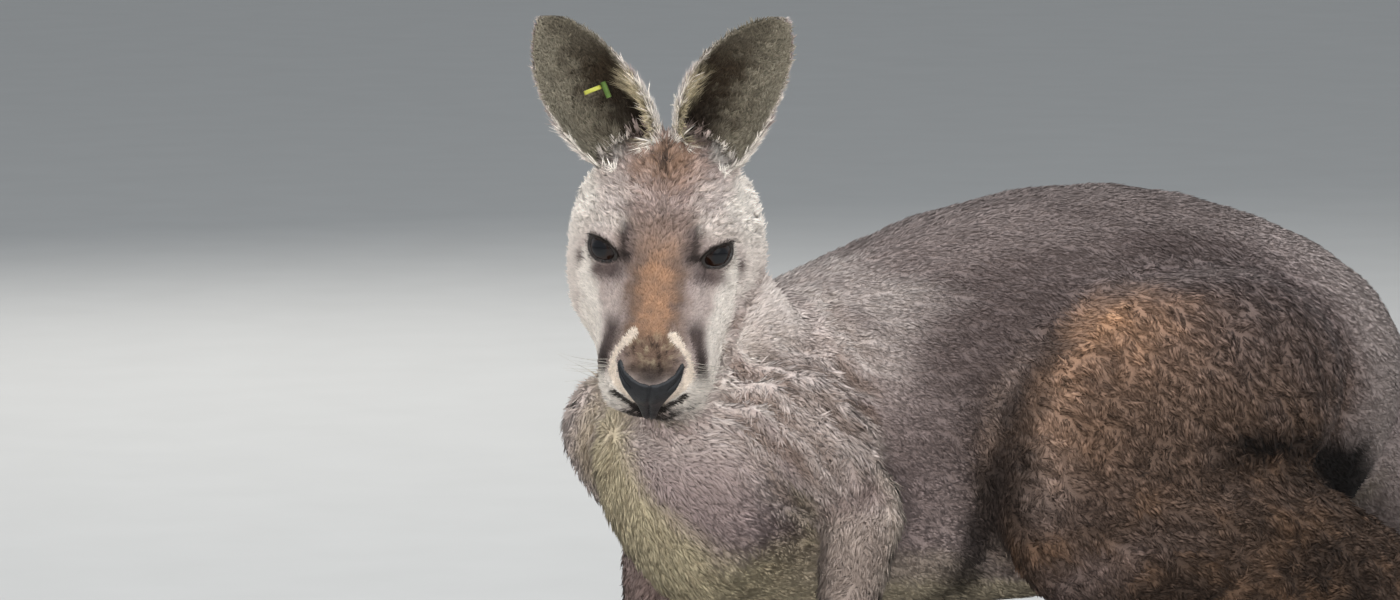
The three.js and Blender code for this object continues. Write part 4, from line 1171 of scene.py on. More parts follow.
def piece_of_triangle(skin):
    """Which piece of the coat each triangle of the skin belongs to, as a row of COAT."""
    corner = skin["triangles"][:, 0]
    centre = skin["points"][skin["triangles"]].mean(1)
    region = skin["owner"][corner]
    names = np.array([kind(node) for node in REGIONS])[region]
    left = np.array([node.endswith("left") for node in REGIONS])[region]
    low, high = (np.array(c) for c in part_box("trunk"))
    front = centre[:, 0] < low[0] + 0.27 * (high[0] - low[0])
    left = np.where(names == "trunk", centre[:, 1] < (low[1] + high[1]) / 2, left)
    ahead = in_head(centre) @ OFF > -2
    order = list(COAT)
    result = np.zeros(len(corner), int)
    for number, name in enumerate(order):
        mine = np.isin(names, COAT[name][3])
        if name == "coat_face":
            mine &= ahead
        elif name == "coat_head":
            mine &= ~ahead
        elif name == "coat_chest":
            mine &= (names == "neck") | front
        elif name.startswith("coat_back"):
            mine &= ~front & (left == name.endswith("left"))
        elif name.startswith("coat_hind"):
            mine &= left == name.endswith("left")
        result[mine] = number
    return result


# ---------------------------------------------------------------------------------------------------------
# Nodes


def feed(tree, node, inputs):
    """Links each input to a socket, or sets it to a value."""
    for key, value in inputs.items():
        if isinstance(value, bpy.types.NodeSocket):
            tree.links.new(value, node.inputs[key])
        else:
            node.inputs[key].default_value = value
    return node


def put(tree, kind_of_node, inputs=None, **settings):
    node = tree.nodes.new(kind_of_node)
    for key, value in settings.items():
        setattr(node, key, value)
    return feed(tree, node, inputs or {})


def maths(tree, operation, a, b=0.0, c=0.0):
    return put(tree, "ShaderNodeMath", {0: a, 1: b, 2: c}, operation=operation).outputs[0]


def vectors(tree, operation, a, b=None, scale=None):
    inputs = {0: a}
    if b is not None:
        inputs[1] = b
    if scale is not None:
        inputs["Scale"] = scale
    node = put(tree, "ShaderNodeVectorMath", inputs, operation=operation)
    return node.outputs["Value" if operation in ("DOT_PRODUCT", "LENGTH") else "Vector"]


def new_sockets(tree, direction, sockets):
    for name, kind_of_socket, default in sockets:
        socket = tree.interface.new_socket(name, in_out=direction, socket_type=kind_of_socket)
        if default is not None:
            socket.default_value = default


# ---------------------------------------------------------------------------------------------------------
# Coat: tufts over the skin


def tuft_shapes():
    """Locks of hair of unit length and width along +Z, with +X off the skin: closed, three-sided and tapered."""
    name, widest = "straight tufts", 0.38
    collection = bpy.data.collections.new(name)
    draw = np.random.default_rng(5)
    for number in range(6):
        aside, arch, twist = draw.uniform(-0.6, 0.6), draw.uniform(-0.1, 0.25), draw.uniform(-0.6, 0.6)
        vertices = [(0, 0, -0.06)]
        for corner in (math.pi, -math.pi / 3, math.pi / 3):
            turn = corner + twist * widest
            x = 0.3 * math.cos(turn) + 4 * arch * (widest - widest * widest)
            y = 0.5 * math.sin(turn) / math.sin(math.pi / 3) + aside * widest * widest
            vertices.append((x, y, widest))
        vertices.append((draw.uniform(-0.1, 0.2), aside + draw.uniform(-0.2, 0.2), 1))
        faces, patches = [], []
        for k in range(3):
            a, b = 1 + k, 1 + (k + 1) % 3
            u, v = k / 3, (k + 1) / 3
            faces += [[0, b, a], [a, b, 4]]
            patches += [((u + v) / 2, 0), (v, widest), (u, widest), (u, widest), (v, widest), ((u + v) / 2, 1)]
        mesh = mesh_of(f"{name} {number}", vertices, faces)
        write_layer(mesh, "along", "FLOAT", [0, widest, widest, widest, 1])
        write_layer(mesh, "patch", "FLOAT2", patches, "CORNER")
        centre = Vector(np.mean(vertices, axis=0))
        if sum((face.center - centre).dot(face.normal) for face in mesh.polygons) < 0:
            raise RuntimeError("a tuft's faces point inwards")
        collection.objects.link(bpy.data.objects.new(f"{name} {number}", mesh))
    return collection


def coat_tree():
    """Tufts spread over a surface by its hair layers, as real geometry."""
    tree = bpy.data.node_groups.new("Coat", "GeometryNodeTree")
    calc, vec = partial(maths, tree), partial(vectors, tree)
    new_sockets(tree, "INPUT", [
        ("Surface", "NodeSocketGeometry", None), ("Tufts", "NodeSocketCollection", None),
        ("Material", "NodeSocketMaterial", None), ("Length", "NodeSocketFloat", 1.0), ("Width", "NodeSocketFloat", 1.0),
        ("Lift", "NodeSocketFloat", 1.0), ("Swirl", "NodeSocketFloat", 1.0), ("Clump size", "NodeSocketFloat", 0.012),
        ("Mound", "NodeSocketFloat", 0.007), ("Number", "NodeSocketFloat", 1.0),
        ("Patch size", "NodeSocketFloat", 0.003), ("Seed", "NodeSocketInt", 7),
    ])  # fmt: skip
    new_sockets(tree, "OUTPUT", [("Coat", "NodeSocketGeometry", None)])
    given = put(tree, "NodeGroupInput").outputs

    def layer(name, data_type="FLOAT"):
        return put(tree, "GeometryNodeInputNamedAttribute", {"Name": name}, data_type=data_type).outputs["Attribute"]

    def chance(low, high, seed):
        return put(tree, "FunctionNodeRandomValue", {2: low, 3: high, "Seed": seed}, data_type="FLOAT").outputs[1]

    def varied(name, setting, low, high, seed):
        """A layer times its setting, varied from tuft to tuft."""
        return calc("MULTIPLY", calc("MULTIPLY", layer(name), given[setting]), chance(low, high, seed))

    def stored(geometry, name, value, data_type, domain):
        inputs = {"Geometry": geometry, "Name": name, "Value": value}
        return put(tree, "GeometryNodeStoreNamedAttribute", inputs, data_type=data_type, domain=domain).outputs[0]

    number = calc("MULTIPLY", layer("hair_density"), given["Number"])
    scatter = {"Mesh": given["Surface"], "Density": number, "Seed": given["Seed"]}
    spread = put(tree, "GeometryNodeDistributePointsOnFaces", scatter)
    normal = spread.outputs["Normal"]
    where = put(tree, "GeometryNodeInputPosition").outputs[0]
    fine = calc("DIVIDE", 1.0, given["Clump size"])
    noise = put(tree, "ShaderNodeTexNoise", {"Vector": where, "Scale": fine, "Detail": 1.5})
    drift = vec("SUBTRACT", noise.outputs["Color"], (0.5, 0.5, 0.5))
    shift = vec("SCALE", drift, scale=calc("MULTIPLY", given["Clump size"], 1.2))
    warped = vec("ADD", where, shift)
    warped = vec("MULTIPLY", warped, (0.8, 1.0, 1.25))
    clump = put(tree, "ShaderNodeTexVoronoi", {"Vector": warped, "Scale": fine}, feature="F1")
    strength = calc("MULTIPLY", layer("hair_swirl"), given["Swirl"])
    own = vec("SCALE", vec("SUBTRACT", clump.outputs["Color"], (0.5, 0.5, 0.5)), scale=1.1)
    inwards = vec("SUBTRACT", clump.outputs["Position"], warped)
    inwards = vec("SCALE", inwards, scale=calc("MULTIPLY", fine, 0.9))
    turned = vec("ADD", vec("ADD", own, inwards), vec("SCALE", drift, scale=1.4))
    turned = vec("SCALE", turned, scale=strength)
    border = put(tree, "ShaderNodeTexVoronoi", {"Vector": warped, "Scale": fine}, feature="DISTANCE_TO_EDGE")
    crest = calc("SUBTRACT", calc("MINIMUM", border.outputs["Distance"], 0.32), 0.15)
    crest = calc("MULTIPLY", crest, strength)
    loose = put(tree, "FunctionNodeRandomValue", {0: (-0.35,) * 3, 1: (0.35,) * 3, "Seed": 3}, data_type="FLOAT_VECTOR")
    way = vec("ADD", layer("lie", "FLOAT_VECTOR"), turned)
    way = vec("ADD", way, loose.outputs[0])
    off = vec("SCALE", normal, scale=vec("DOT_PRODUCT", way, normal))
    flat = vec("SUBTRACT", way, off)
    rise = varied("hair_lift", "Lift", 0.55, 1.35, 11)
    aim = vec("ADD", vec("NORMALIZE", flat), vec("SCALE", normal, scale=rise))
    axes = {"Primary Axis": aim, "Secondary Axis": normal}
    turn = put(tree, "FunctionNodeAxesToRotation", axes, primary_axis="Z", secondary_axis="X")
    long = varied("hair_length", "Length", 0.65, 1.2, 12)
    wide = varied("hair_width", "Width", 0.6, 1.3, 13)
    size = put(tree, "ShaderNodeCombineXYZ", {"X": wide, "Y": wide, "Z": long}).outputs[0]
    locks = {"Collection": given["Tufts"], "Separate Children": True, "Reset Children": True}
    shapes = put(tree, "GeometryNodeCollectionInfo", locks)
    mound = calc("MULTIPLY", calc("MAXIMUM", crest, -0.03), given["Mound"])
    offset = vec("SCALE", normal, scale=mound)
    raised = put(tree, "GeometryNodeSetPosition", {"Geometry": spread.outputs["Points"], "Offset": offset})
    placed = put(tree, "GeometryNodeInstanceOnPoints", {
        "Points": raised.outputs[0], "Instance": shapes.outputs[0], "Pick Instance": True,
        "Rotation": turn.outputs[0], "Scale": size,
    })  # fmt: skip
    # A random share for each tuft, plus painted shade at the borders of the clumps and painted light on their crests
    tint = calc("ADD", chance(-0.4, 0.4, 14), calc("MULTIPLY", crest, 9.0))
    tinted = stored(placed.outputs[0], "tint", tint, "FLOAT", "INSTANCE")
    sloped = vec("SCALE", inwards, scale=calc("MULTIPLY", strength, 0.9))
    sloped = vec("NORMALIZE", vec("SUBTRACT", layer("skin_normal", "FLOAT_VECTOR"), sloped))
    domed = stored(tinted, "skin_normal", sloped, "FLOAT_VECTOR", "INSTANCE")
    real = put(tree, "GeometryNodeRealizeInstances", {"Geometry": domed})
    patch = vec("SUBTRACT", layer("patch", "FLOAT_VECTOR"), (0.5, 0.5, 0))
    patch = vec("SCALE", patch, scale=given["Patch size"])
    place = vec("ADD", layer("unwrap", "FLOAT_VECTOR"), patch)
    mapped = stored(real.outputs[0], "OFBake", place, "FLOAT2", "CORNER")
    coated = put(tree, "GeometryNodeSetMaterial", {"Geometry": mapped, "Material": given["Material"]})
    put(tree, "NodeGroupOutput", {0: coated.outputs[0]})
    return tree


def set_input(modifier, name, value):
    for item in modifier.node_group.interface.items_tree:
        if item.item_type == "SOCKET" and item.in_out == "INPUT" and item.name == name:
            modifier[item.identifier] = value
            return
    raise RuntimeError(f"the tree has no input named {name}")


def unwrapped(mesh):
    """Lays the mesh's own surface flat, in islands, as a map named unwrap."""
    piece = new_object("Unwrapping", mesh)
    mesh.uv_layers.new(name="unwrap")
    bpy.context.view_layer.objects.active = piece
    piece.select_set(True)
    bpy.ops.object.mode_set(mode="EDIT")
    bpy.ops.mesh.select_all(action="SELECT")
    bpy.ops.uv.smart_project(angle_limit=math.radians(66), island_margin=0.003)
    bpy.ops.object.mode_set(mode="OBJECT")
    return piece


def expected_tufts(skin, chosen):
    a, b, c = (skin["points"][skin["triangles"][chosen][:, k]] for k in range(3))
    area = np.linalg.norm(np.cross(b - a, c - a), axis=1) / 2
    return float((area * skin["hair_density"][skin["triangles"][chosen]].mean(1)).sum())


def coat_piece(name, skin, chosen, tree, tufts, most, clump, finish, coat):
    mesh = part_of(name, skin, chosen)
    surface = unwrapped(mesh)
    modifier = surface.modifiers.new("Coat", "NODES")
    modifier.node_group = tree
    number = min(coat.count, most / max(1.0, expected_tufts(skin, chosen)))
    values = {"Tufts": tufts, "Material": finish, "Clump size": clump * MM,
              "Length": coat.long, "Width": coat.wide, "Lift": coat.lift,
              "Swirl": coat.swirl, "Number": number, "Seed": coat.seed}  # fmt: skip
    for key, value in values.items():
        set_input(modifier, key, value)
    result = evaluated(surface)
    surface.modifiers.clear()
    bpy.data.objects.remove(surface)
    for layer in list(result.attributes):
        if layer.name in ("lie", "unwrap", "patch") or layer.name.startswith("hair_"):
            result.attributes.remove(layer)
    low, high = (np.array(corner) for corner in CAD_BOX)
    move_points(result, np.clip(points_of(result), low + [CLEARANCE, CLEARANCE, 2 * CLEARANCE], high - CLEARANCE))
    result.name = name
    result.shade_smooth()
    return new_object(name, result)


# ---------------------------------------------------------------------------------------------------------
# Materials


def tone_group():
    """Colour of a coat or skin: darker at the roots, lighter at the tips, varied over the tufts and the body, with the
    painted clump shade that the tint brings.
    """
    tree = bpy.data.node_groups.new("Coat tone", "ShaderNodeTree")
    calc, vec = partial(maths, tree), partial(vectors, tree)
    new_sockets(tree, "INPUT", [
        ("Colour", "NodeSocketColor", (0.3, 0.25, 0.2, 1)), ("Along", "NodeSocketFloat", 0.5),
        ("Tint", "NodeSocketFloat", 0.0), ("Root", "NodeSocketFloat", 0.5), ("Tip", "NodeSocketFloat", 1.25),
        ("Variation", "NodeSocketFloat", 0.18), ("Grain size", "NodeSocketFloat", 0.006),
    ])  # fmt: skip
    new_sockets(tree, "OUTPUT", [("Colour", "NodeSocketColor", None)])
    given = put(tree, "NodeGroupInput").outputs
    place = put(tree, "ShaderNodeTexCoord").outputs["Object"]
    fineness = calc("DIVIDE", 1.0, given["Grain size"])
    noise = put(tree, "ShaderNodeTexNoise", {"Vector": place, "Scale": fineness, "Detail": 3.0})
    grain = calc("MULTIPLY", calc("SUBTRACT", noise.outputs["Fac"], 0.5), 1.6)
    vary = calc("MULTIPLY", calc("ADD", grain, given["Tint"]), given["Variation"])
    rise = calc("SUBTRACT", given["Tip"], given["Root"])
    ramp = calc("MULTIPLY_ADD", rise, given["Along"], given["Root"])
    light = calc("MULTIPLY", ramp, calc("ADD", vary, 1.0))
    put(tree, "NodeGroupOutput", {0: vec("SCALE", given["Colour"], scale=light)})
    return tree


def grain_group():
    """Fine bumps for bare leather, horn and moulded plastic: cells and dents as one height."""
    tree = bpy.data.node_groups.new("Fine grain", "ShaderNodeTree")
    new_sockets(tree, "INPUT", [("Cell size", "NodeSocketFloat", 0.0012)])
    new_sockets(tree, "OUTPUT", [("Height", "NodeSocketFloat", None), ("Mask", "NodeSocketFloat", None)])
    given = put(tree, "NodeGroupInput").outputs
    place = put(tree, "ShaderNodeTexCoord").outputs["Object"]
    scale = maths(tree, "DIVIDE", 1.0, given["Cell size"])
    cells = put(tree, "ShaderNodeTexVoronoi", {"Vector": place, "Scale": scale})
    coarse = maths(tree, "MULTIPLY", scale, 0.4)
    noise = put(tree, "ShaderNodeTexNoise", {"Vector": place, "Scale": coarse, "Detail": 4.0})
    height = maths(tree, "ADD", cells.outputs["Distance"], maths(tree, "MULTIPLY", noise.outputs["Fac"], 0.6))
    put(tree, "NodeGroupOutput", {"Height": height, "Mask": noise.outputs["Fac"]})
    return tree


def new_material(name):
    material = bpy.data.materials.new(name)
    material.use_nodes = True
    tree = material.node_tree
    return material, tree, tree.nodes["Principled BSDF"]


def layer_node(tree, name):
    return put(tree, "ShaderNodeAttribute", attribute_name=name, attribute_type="GEOMETRY").outputs


def hair_material(name, root, tip, soft, variation):
    """Hair whose shading follows the skin under it by the share soft."""
    material, tree, shader = new_material(name)
    tone = put(tree, "ShaderNodeGroup", {
        "Colour": layer_node(tree, "coat_colour")["Color"], "Along": layer_node(tree, "along")["Fac"],
        "Tint": layer_node(tree, "tint")["Fac"], "Root": root, "Tip": tip, "Variation": variation,
    }, node_tree=made["tone"])  # fmt: skip
    own = vectors(tree, "SCALE", put(tree, "ShaderNodeNewGeometry").outputs["Normal"], scale=1 - soft)
    under = vectors(tree, "SCALE", layer_node(tree, "skin_normal")["Vector"], scale=soft)
    feed(tree, shader, {
        "Base Color": tone.outputs[0], "Normal": vectors(tree, "NORMALIZE", vectors(tree, "ADD", own, under)),
        "Roughness": 0.8, "Specular IOR Level": 0.14, "Sheen Weight": 0.02, "Sheen Roughness": 0.5,
    })  # fmt: skip
    return material


def skin_material():
    material, tree, shader = new_material("Skin under the coat")
    tone = put(tree, "ShaderNodeGroup", {
        "Colour": layer_node(tree, "coat_colour")["Color"], "Along": 0.0, "Root": 0.95, "Variation": 0.25,
        "Grain size": 0.003,
    }, node_tree=made["tone"])  # fmt: skip
    place = put(tree, "ShaderNodeTexCoord").outputs["Object"]
    hairs = put(tree, "ShaderNodeTexNoise", {"Vector": place, "Scale": 900.0, "Detail": 3.0})
    bump = put(tree, "ShaderNodeBump", {"Height": hairs.outputs["Fac"], "Strength": 0.6, "Distance": 0.0012})
    inputs = {"Base Color": tone.outputs[0], "Normal": bump.outputs[0], "Roughness": 0.85, "Specular IOR Level": 0.2}
    feed(tree, shader, inputs)
    return material


def mixed(tree, amount, a, b):
    node = put(tree, "ShaderNodeMix", {0: amount}, data_type="RGBA")
    for index, value in ((6, a), (7, b)):
        if isinstance(value, bpy.types.NodeSocket):
            tree.links.new(value, node.inputs[index])
        else:
            node.inputs[index].default_value = (*value, 1)
    return node.outputs[2]


def ramped(tree, value, low, high):
    return put(tree, "ShaderNodeMapRange", {"Value": value, "From Min": low, "From Max": high}, clamp=True).outputs[0]


def bare_material(name, dark, light, rough, cell, depth, coat=0.0):
    """Leather, horn or plastic: two tones mixed by a fine mask, with small bumps."""
    material, tree, shader = new_material(name)
    grain = put(tree, "ShaderNodeGroup", {"Cell size": cell}, node_tree=made["grain"])
    mask = grain.outputs["Mask"]
    bump = put(tree, "ShaderNodeBump", {"Height": grain.outputs["Height"], "Strength": 0.5, "Distance": depth})
    feed(tree, shader, {
        "Base Color": mixed(tree, ramped(tree, mask, 0.35, 0.65), dark, light), "Normal": bump.outputs[0],
        "Roughness": ramped(tree, mask, -1.2 * rough, 1 / max(rough, 0.05)), "Coat Weight": coat,
        "Coat Roughness": 0.2,
    })  # fmt: skip
    return material


def eye_material(iris):
    material, tree, shader = new_material("Eye")
    gaze, pupil = layer_node(tree, "gaze")["Fac"], layer_node(tree, "pupil")["Fac"]
    place = put(tree, "ShaderNodeTexCoord").outputs["Object"]
    fibres = put(tree, "ShaderNodeTexNoise", {"Vector": place, "Scale": 1400.0, "Detail": 2.0}).outputs["Fac"]
    ring = mixed(tree, ramped(tree, fibres, 0.3, 0.7), tuple(0.15 * v for v in iris), tuple(0.35 * v for v in iris))
    ring = mixed(tree, ramped(tree, gaze, 0.62, 0.80), ring, (0.006, 0.005, 0.005))
    ball_tone = mixed(tree, ramped(tree, gaze, 0.92, 1.1), ring, (0.05, 0.03, 0.025))
    tone = mixed(tree, ramped(tree, pupil, 0.40, 0.34), ball_tone, (0.002, 0.002, 0.003))
    rough = ramped(tree, fibres, -3.0, 40.0)
    feed(tree, shader, {"Base Color": tone, "Roughness": rough, "Specular IOR Level": 0.5})
    return material


# ---------------------------------------------------------------------------------------------------------
# Eyes, lids, nose, whiskers, claws


def grid_faces(rows, columns, closed):
    faces = []
    for i in range(rows - 1):
        for k in range(columns if closed else columns - 1):
            a, b = i * columns + k, i * columns + (k + 1) % columns
            faces.append([a, b, b + columns, a + columns])
    return faces


def outward(vertices, faces):
    """The mesh data with its faces turned to point out of a closed shape."""
    work = bmesh.new()
    for v in vertices:
        work.verts.new(v)
    work.verts.ensure_lookup_table()
    for face in faces:
        work.faces.new([work.verts[i] for i in face])
    bmesh.ops.recalc_face_normals(work, faces=work.faces)
    work.verts.index_update()
    result = [[v.index for v in face.verts] for face in work.faces]
    work.free()
    return result


def eyeball(side):
    """An eyeball with its cornea, and the layers that its colours follow."""
    gaze, along, up = eye_axes(side)
    rows, columns = 49, 72
    vertices, angles, pupils = [], [], []
    for i in range(rows):
        angle = math.pi * (0.002 + 0.996 * i / (rows - 1))
        radius = EYE_RADIUS + 1.1 * math.exp(-((angle / 0.52) ** 4)) - 0.1
        for k in range(columns):
            turn = 2 * math.pi * k / columns
            aside, over = math.sin(angle) * math.cos(turn), math.sin(angle) * math.sin(turn)
            vertices.append(eye_centre(side) + radius * (gaze * math.cos(angle) + along * aside + up * over))
            angles.append(angle)
            pupils.append(angle * math.hypot(math.cos(turn) / 1.15, math.sin(turn) / 0.95) if angle < 1.5 else 1.5)
    faces = grid_faces(rows, columns, True) + [list(range(columns)), list(range((rows - 1) * columns, rows * columns))]
    points = from_head(vertices)
    mesh = mesh_of(f"eyeball_{side}", points, outward(points, faces))
    write_layer(mesh, "gaze", "FLOAT", angles)
    write_layer(mesh, "pupil", "FLOAT", pupils)
    return new_object(f"eyeball_{side}", mesh)


def lid_rim(side, eye):
    """The bare rim of both lids of an eye: a smooth band from just inside the opening to under the skin round it."""
    gaze, along, up = eye_axes(side)
    rows = [(0.90, -1.0), (0.93, 0.1), (0.97, 0.75), (1.03, 1.2), (1.10, 1.45), (1.18, 1.6), (1.27, 1.55)]
    rows += [(1.38, 1.2), (1.5, 0.3)]
    vertices, columns = [], 96
    for grow, lift in rows:
        for k in range(columns):
            turn = 2 * math.pi * k / columns
            c, s = math.cos(turn), math.sin(turn)
            sideways = eye.half_width * math.copysign(abs(c) ** (1.8 / 1.7), c)
            tall = (eye.upper if s > 0 else eye.lower) * (1 - 0.25 * sideways * (s > 0))
            height = tall * math.copysign(abs(s) ** (1.8 / 1.9), s)
            sideways, height = sideways * grow, height * grow
            way = math.cos(height) * (math.cos(sideways) * gaze + math.sin(sideways) * along) + math.sin(height) * up
            thick = lift + 0.45 * (s > 0) * abs(s) * step(0.95, 1.1, grow) * (lift > 0.5)
            vertices.append(eye_centre(side) + (EYE_RADIUS + thick) * way)
    return from_head(vertices), grid_faces(len(rows), columns, True)


def tube(path, start, end, sides=5):
    """Vertices and faces of a thin, tapered, closed tube along a path."""
    path = np.asarray(path, float)
    vertices = []
    guide = np.array([0.3, 0.2, 0.93])
    for i, place in enumerate(path):
        ahead = unit(path[min(i + 1, len(path) - 1)] - path[max(i - 1, 0)])
        a = unit(np.cross(ahead, guide))
        b = np.cross(ahead, a)
        radius = start + (end - start) * i / (len(path) - 1)
        turns = np.arange(sides) * 2 * math.pi / sides
        vertices += [place + radius * (a * math.cos(t) + b * math.sin(t)) for t in turns]
    faces = grid_faces(len(path), sides, True)
    faces += [list(range(sides))[::-1], list(range((len(path) - 1) * sides, len(path) * sides))]
    return vertices, [face[::-1] for face in faces]


def tubes_object(name, paths, start, end):
    return new_object(name, mesh_of(name, *gathered(tube(path, start, end) for path in paths)))


def upper_lashes(side, eye):
    gaze, along, up = eye_axes(side)
    draw = np.random.default_rng(11 + SIDES[side])
    paths = []
    for k in range(34):
        sideways = eye.half_width * (-0.55 + 1.4 * (k + draw.uniform(-0.3, 0.3)) / 33)
        height = eye.upper * (1 - abs(sideways / eye.half_width) ** 1.7 * 0.8) * 1.05
        way = math.cos(height) * (math.cos(sideways) * gaze + math.sin(sideways) * along) + math.sin(height) * up
        root = eye_centre(side) + (EYE_RADIUS + 1.3) * way
        long = draw.uniform(3.5, 6.5)
        aim = unit(0.8 * way + 0.25 * up + 0.5 * math.sin(sideways) * along + draw.normal(size=3) * 0.06)
        paths.append(from_head([root + aim * long * t - up * long * 0.30 * t * t for t in (0, 0.35, 0.7, 1)]))
    return paths


def face_outwards(mesh):
    """Turns an open mesh on the face, so that its faces look out of it."""
    if sum(face.normal.dot(Vector(TURN @ OFF)) for face in mesh.polygons) < 0:
        mesh.flip_normals()


def nose_leather(tree):
    """The bare pad of the nose over the skin: a band with two nostrils, and the cleft down to the lips."""
    columns = rows = round(50 / 0.45) + 1  # a square of 50 mm in cells of 0.45 mm
    across, up = np.meshgrid(np.linspace(-25, 25, columns), np.linspace(-67, -117, rows))
    across, up = across.ravel(), up.ravel()
    wide = np.abs(across)
    inside = pad_depth(np.stack([np.zeros(len(up)), across, np.zeros(len(up))], 1) + up[:, None] * UP)
    crescent, share_along = along_stroke(wide, up, [(19.2, -77.5), (18.2, -81), (15.6, -85.0), (11.4, -88.4)])
    half = 0.9 * np.sin(np.pi * np.clip(share_along * 0.8 + 0.1, 0, 1)) ** 0.6
    rim = hill(crescent - half - 1.2, 1.0) * (up > -93) * step(-1, 1, inside)
    lift = -0.8 + 2.6 * step(-1.2, 0.9, inside) + 0.15 * rim - 2.2 * step(1.1, 0.2, crescent / np.maximum(half, 0.3))
    lift -= 1.3 * hill(across, 0.45) * step(-83, -88, up)
    lift += 0.5 * hill(wide - 3, 2.2) * step(-84, -90, up)
    vertices, alive = [], []
    for l, v, h, keep in zip(across, up, lift, inside > -1.9):
        hit, normal = on_face(tree, l, v)
        if hit is None or not keep:
            vertices.append((0, 0, 0))
            alive.append(False)
            continue
        vertices.append(np.array(hit) + np.array(normal) * h * MM)
        alive.append(True)
    faces = [face[::-1] for face in grid_faces(rows, columns, False) if all(alive[i] for i in face)]
    used = sorted({i for face in faces for i in face})
    index = {old: new for new, old in enumerate(used)}
    mesh = mesh_of("nose_leather", [vertices[i] for i in used], [[index[i] for i in face] for face in faces])
    edges = edges_of(mesh)
    points = relaxed(points_of(mesh), edges, 2)
    move_points(mesh, points)
    face_outwards(mesh)
    return new_object("nose_leather", mesh)


def on_face(tree, across, up):
    """Where a ray from in front of the face meets the skin, and the skin's normal there."""
    start = np.array([0, across, 0]) + UP * up + OFF * 200
    hit, normal, _, _ = tree.ray_cast(Vector(from_head([start])[0]), Vector(TURN @ -OFF))
    return hit, normal


def whisker_paths(tree):
    """Whiskers on the lips, kept inside the part's own box."""
    draw = np.random.default_rng(17)
    low, high = (np.array(corner) for corner in CAD_BOX)
    paths = []
    spots = [(27 + 1.6 * row, -72 - 4.6 * row - 1.5 * (k % 2), 20 + 7 * k) for row in range(4) for k in range(3)]
    for side in SIDES.values():
        for across, up, long in spots:
            l = side * (across + draw.uniform(-2, 4))
            v = up + draw.uniform(-2, 2)
            hit, normal = on_face(tree, l, v)
            if hit is None:
                continue
            away = TURN.T @ np.array(normal) * 0.5 + np.array([-0.25, side * 1.0, -0.45])
            away = unit(away + draw.normal(size=3) * 0.12)
            long *= draw.uniform(0.75, 1.15)
            droop = np.array([-0.5, 0, -0.5]) * long * 0.35
            root = in_head([hit])[0]
            path = from_head([root + away * long * t + droop * t * t for t in np.linspace(0, 1, 7)])
            paths.append(np.clip(path, low + 0.0015, high - 0.0015))
    return paths


def claws_of(name, nodes):
    """Claws rounded from merged copies of their solids."""
    shapes = []
    for node in nodes:
        work = merged(node)
        bmesh.ops.recalc_face_normals(work, faces=work.faces)
        shapes.append(([tuple(v.co) for v in work.verts], [[v.index for v in face.verts] for face in work.faces]))
        work.free()
    piece = new_object(name, mesh_of(name, *gathered(shapes)))
    rounding = piece.modifiers.new("Rounding", "SUBSURF")
    rounding.levels = rounding.render_levels = 1
    mesh = evaluated(piece)
    piece.modifiers.clear()
    piece.data = mesh
    return piece


# ---------------------------------------------------------------------------------------------------------
# Operators


def finished(piece, material, slot, *nodes):
    piece.data.materials.clear()
    piece.data.materials.append(material)
    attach(piece, "root")
    if nodes:
        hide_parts(*nodes)
    return piece


def needed(name):
    if name not in made:
        raise RuntimeError("make the skin first")
    return made[name]


AIM_ASIDE, AIM_BELOW = 0.02706, 0.031  # from the eyes to the middle of the picture, in metres


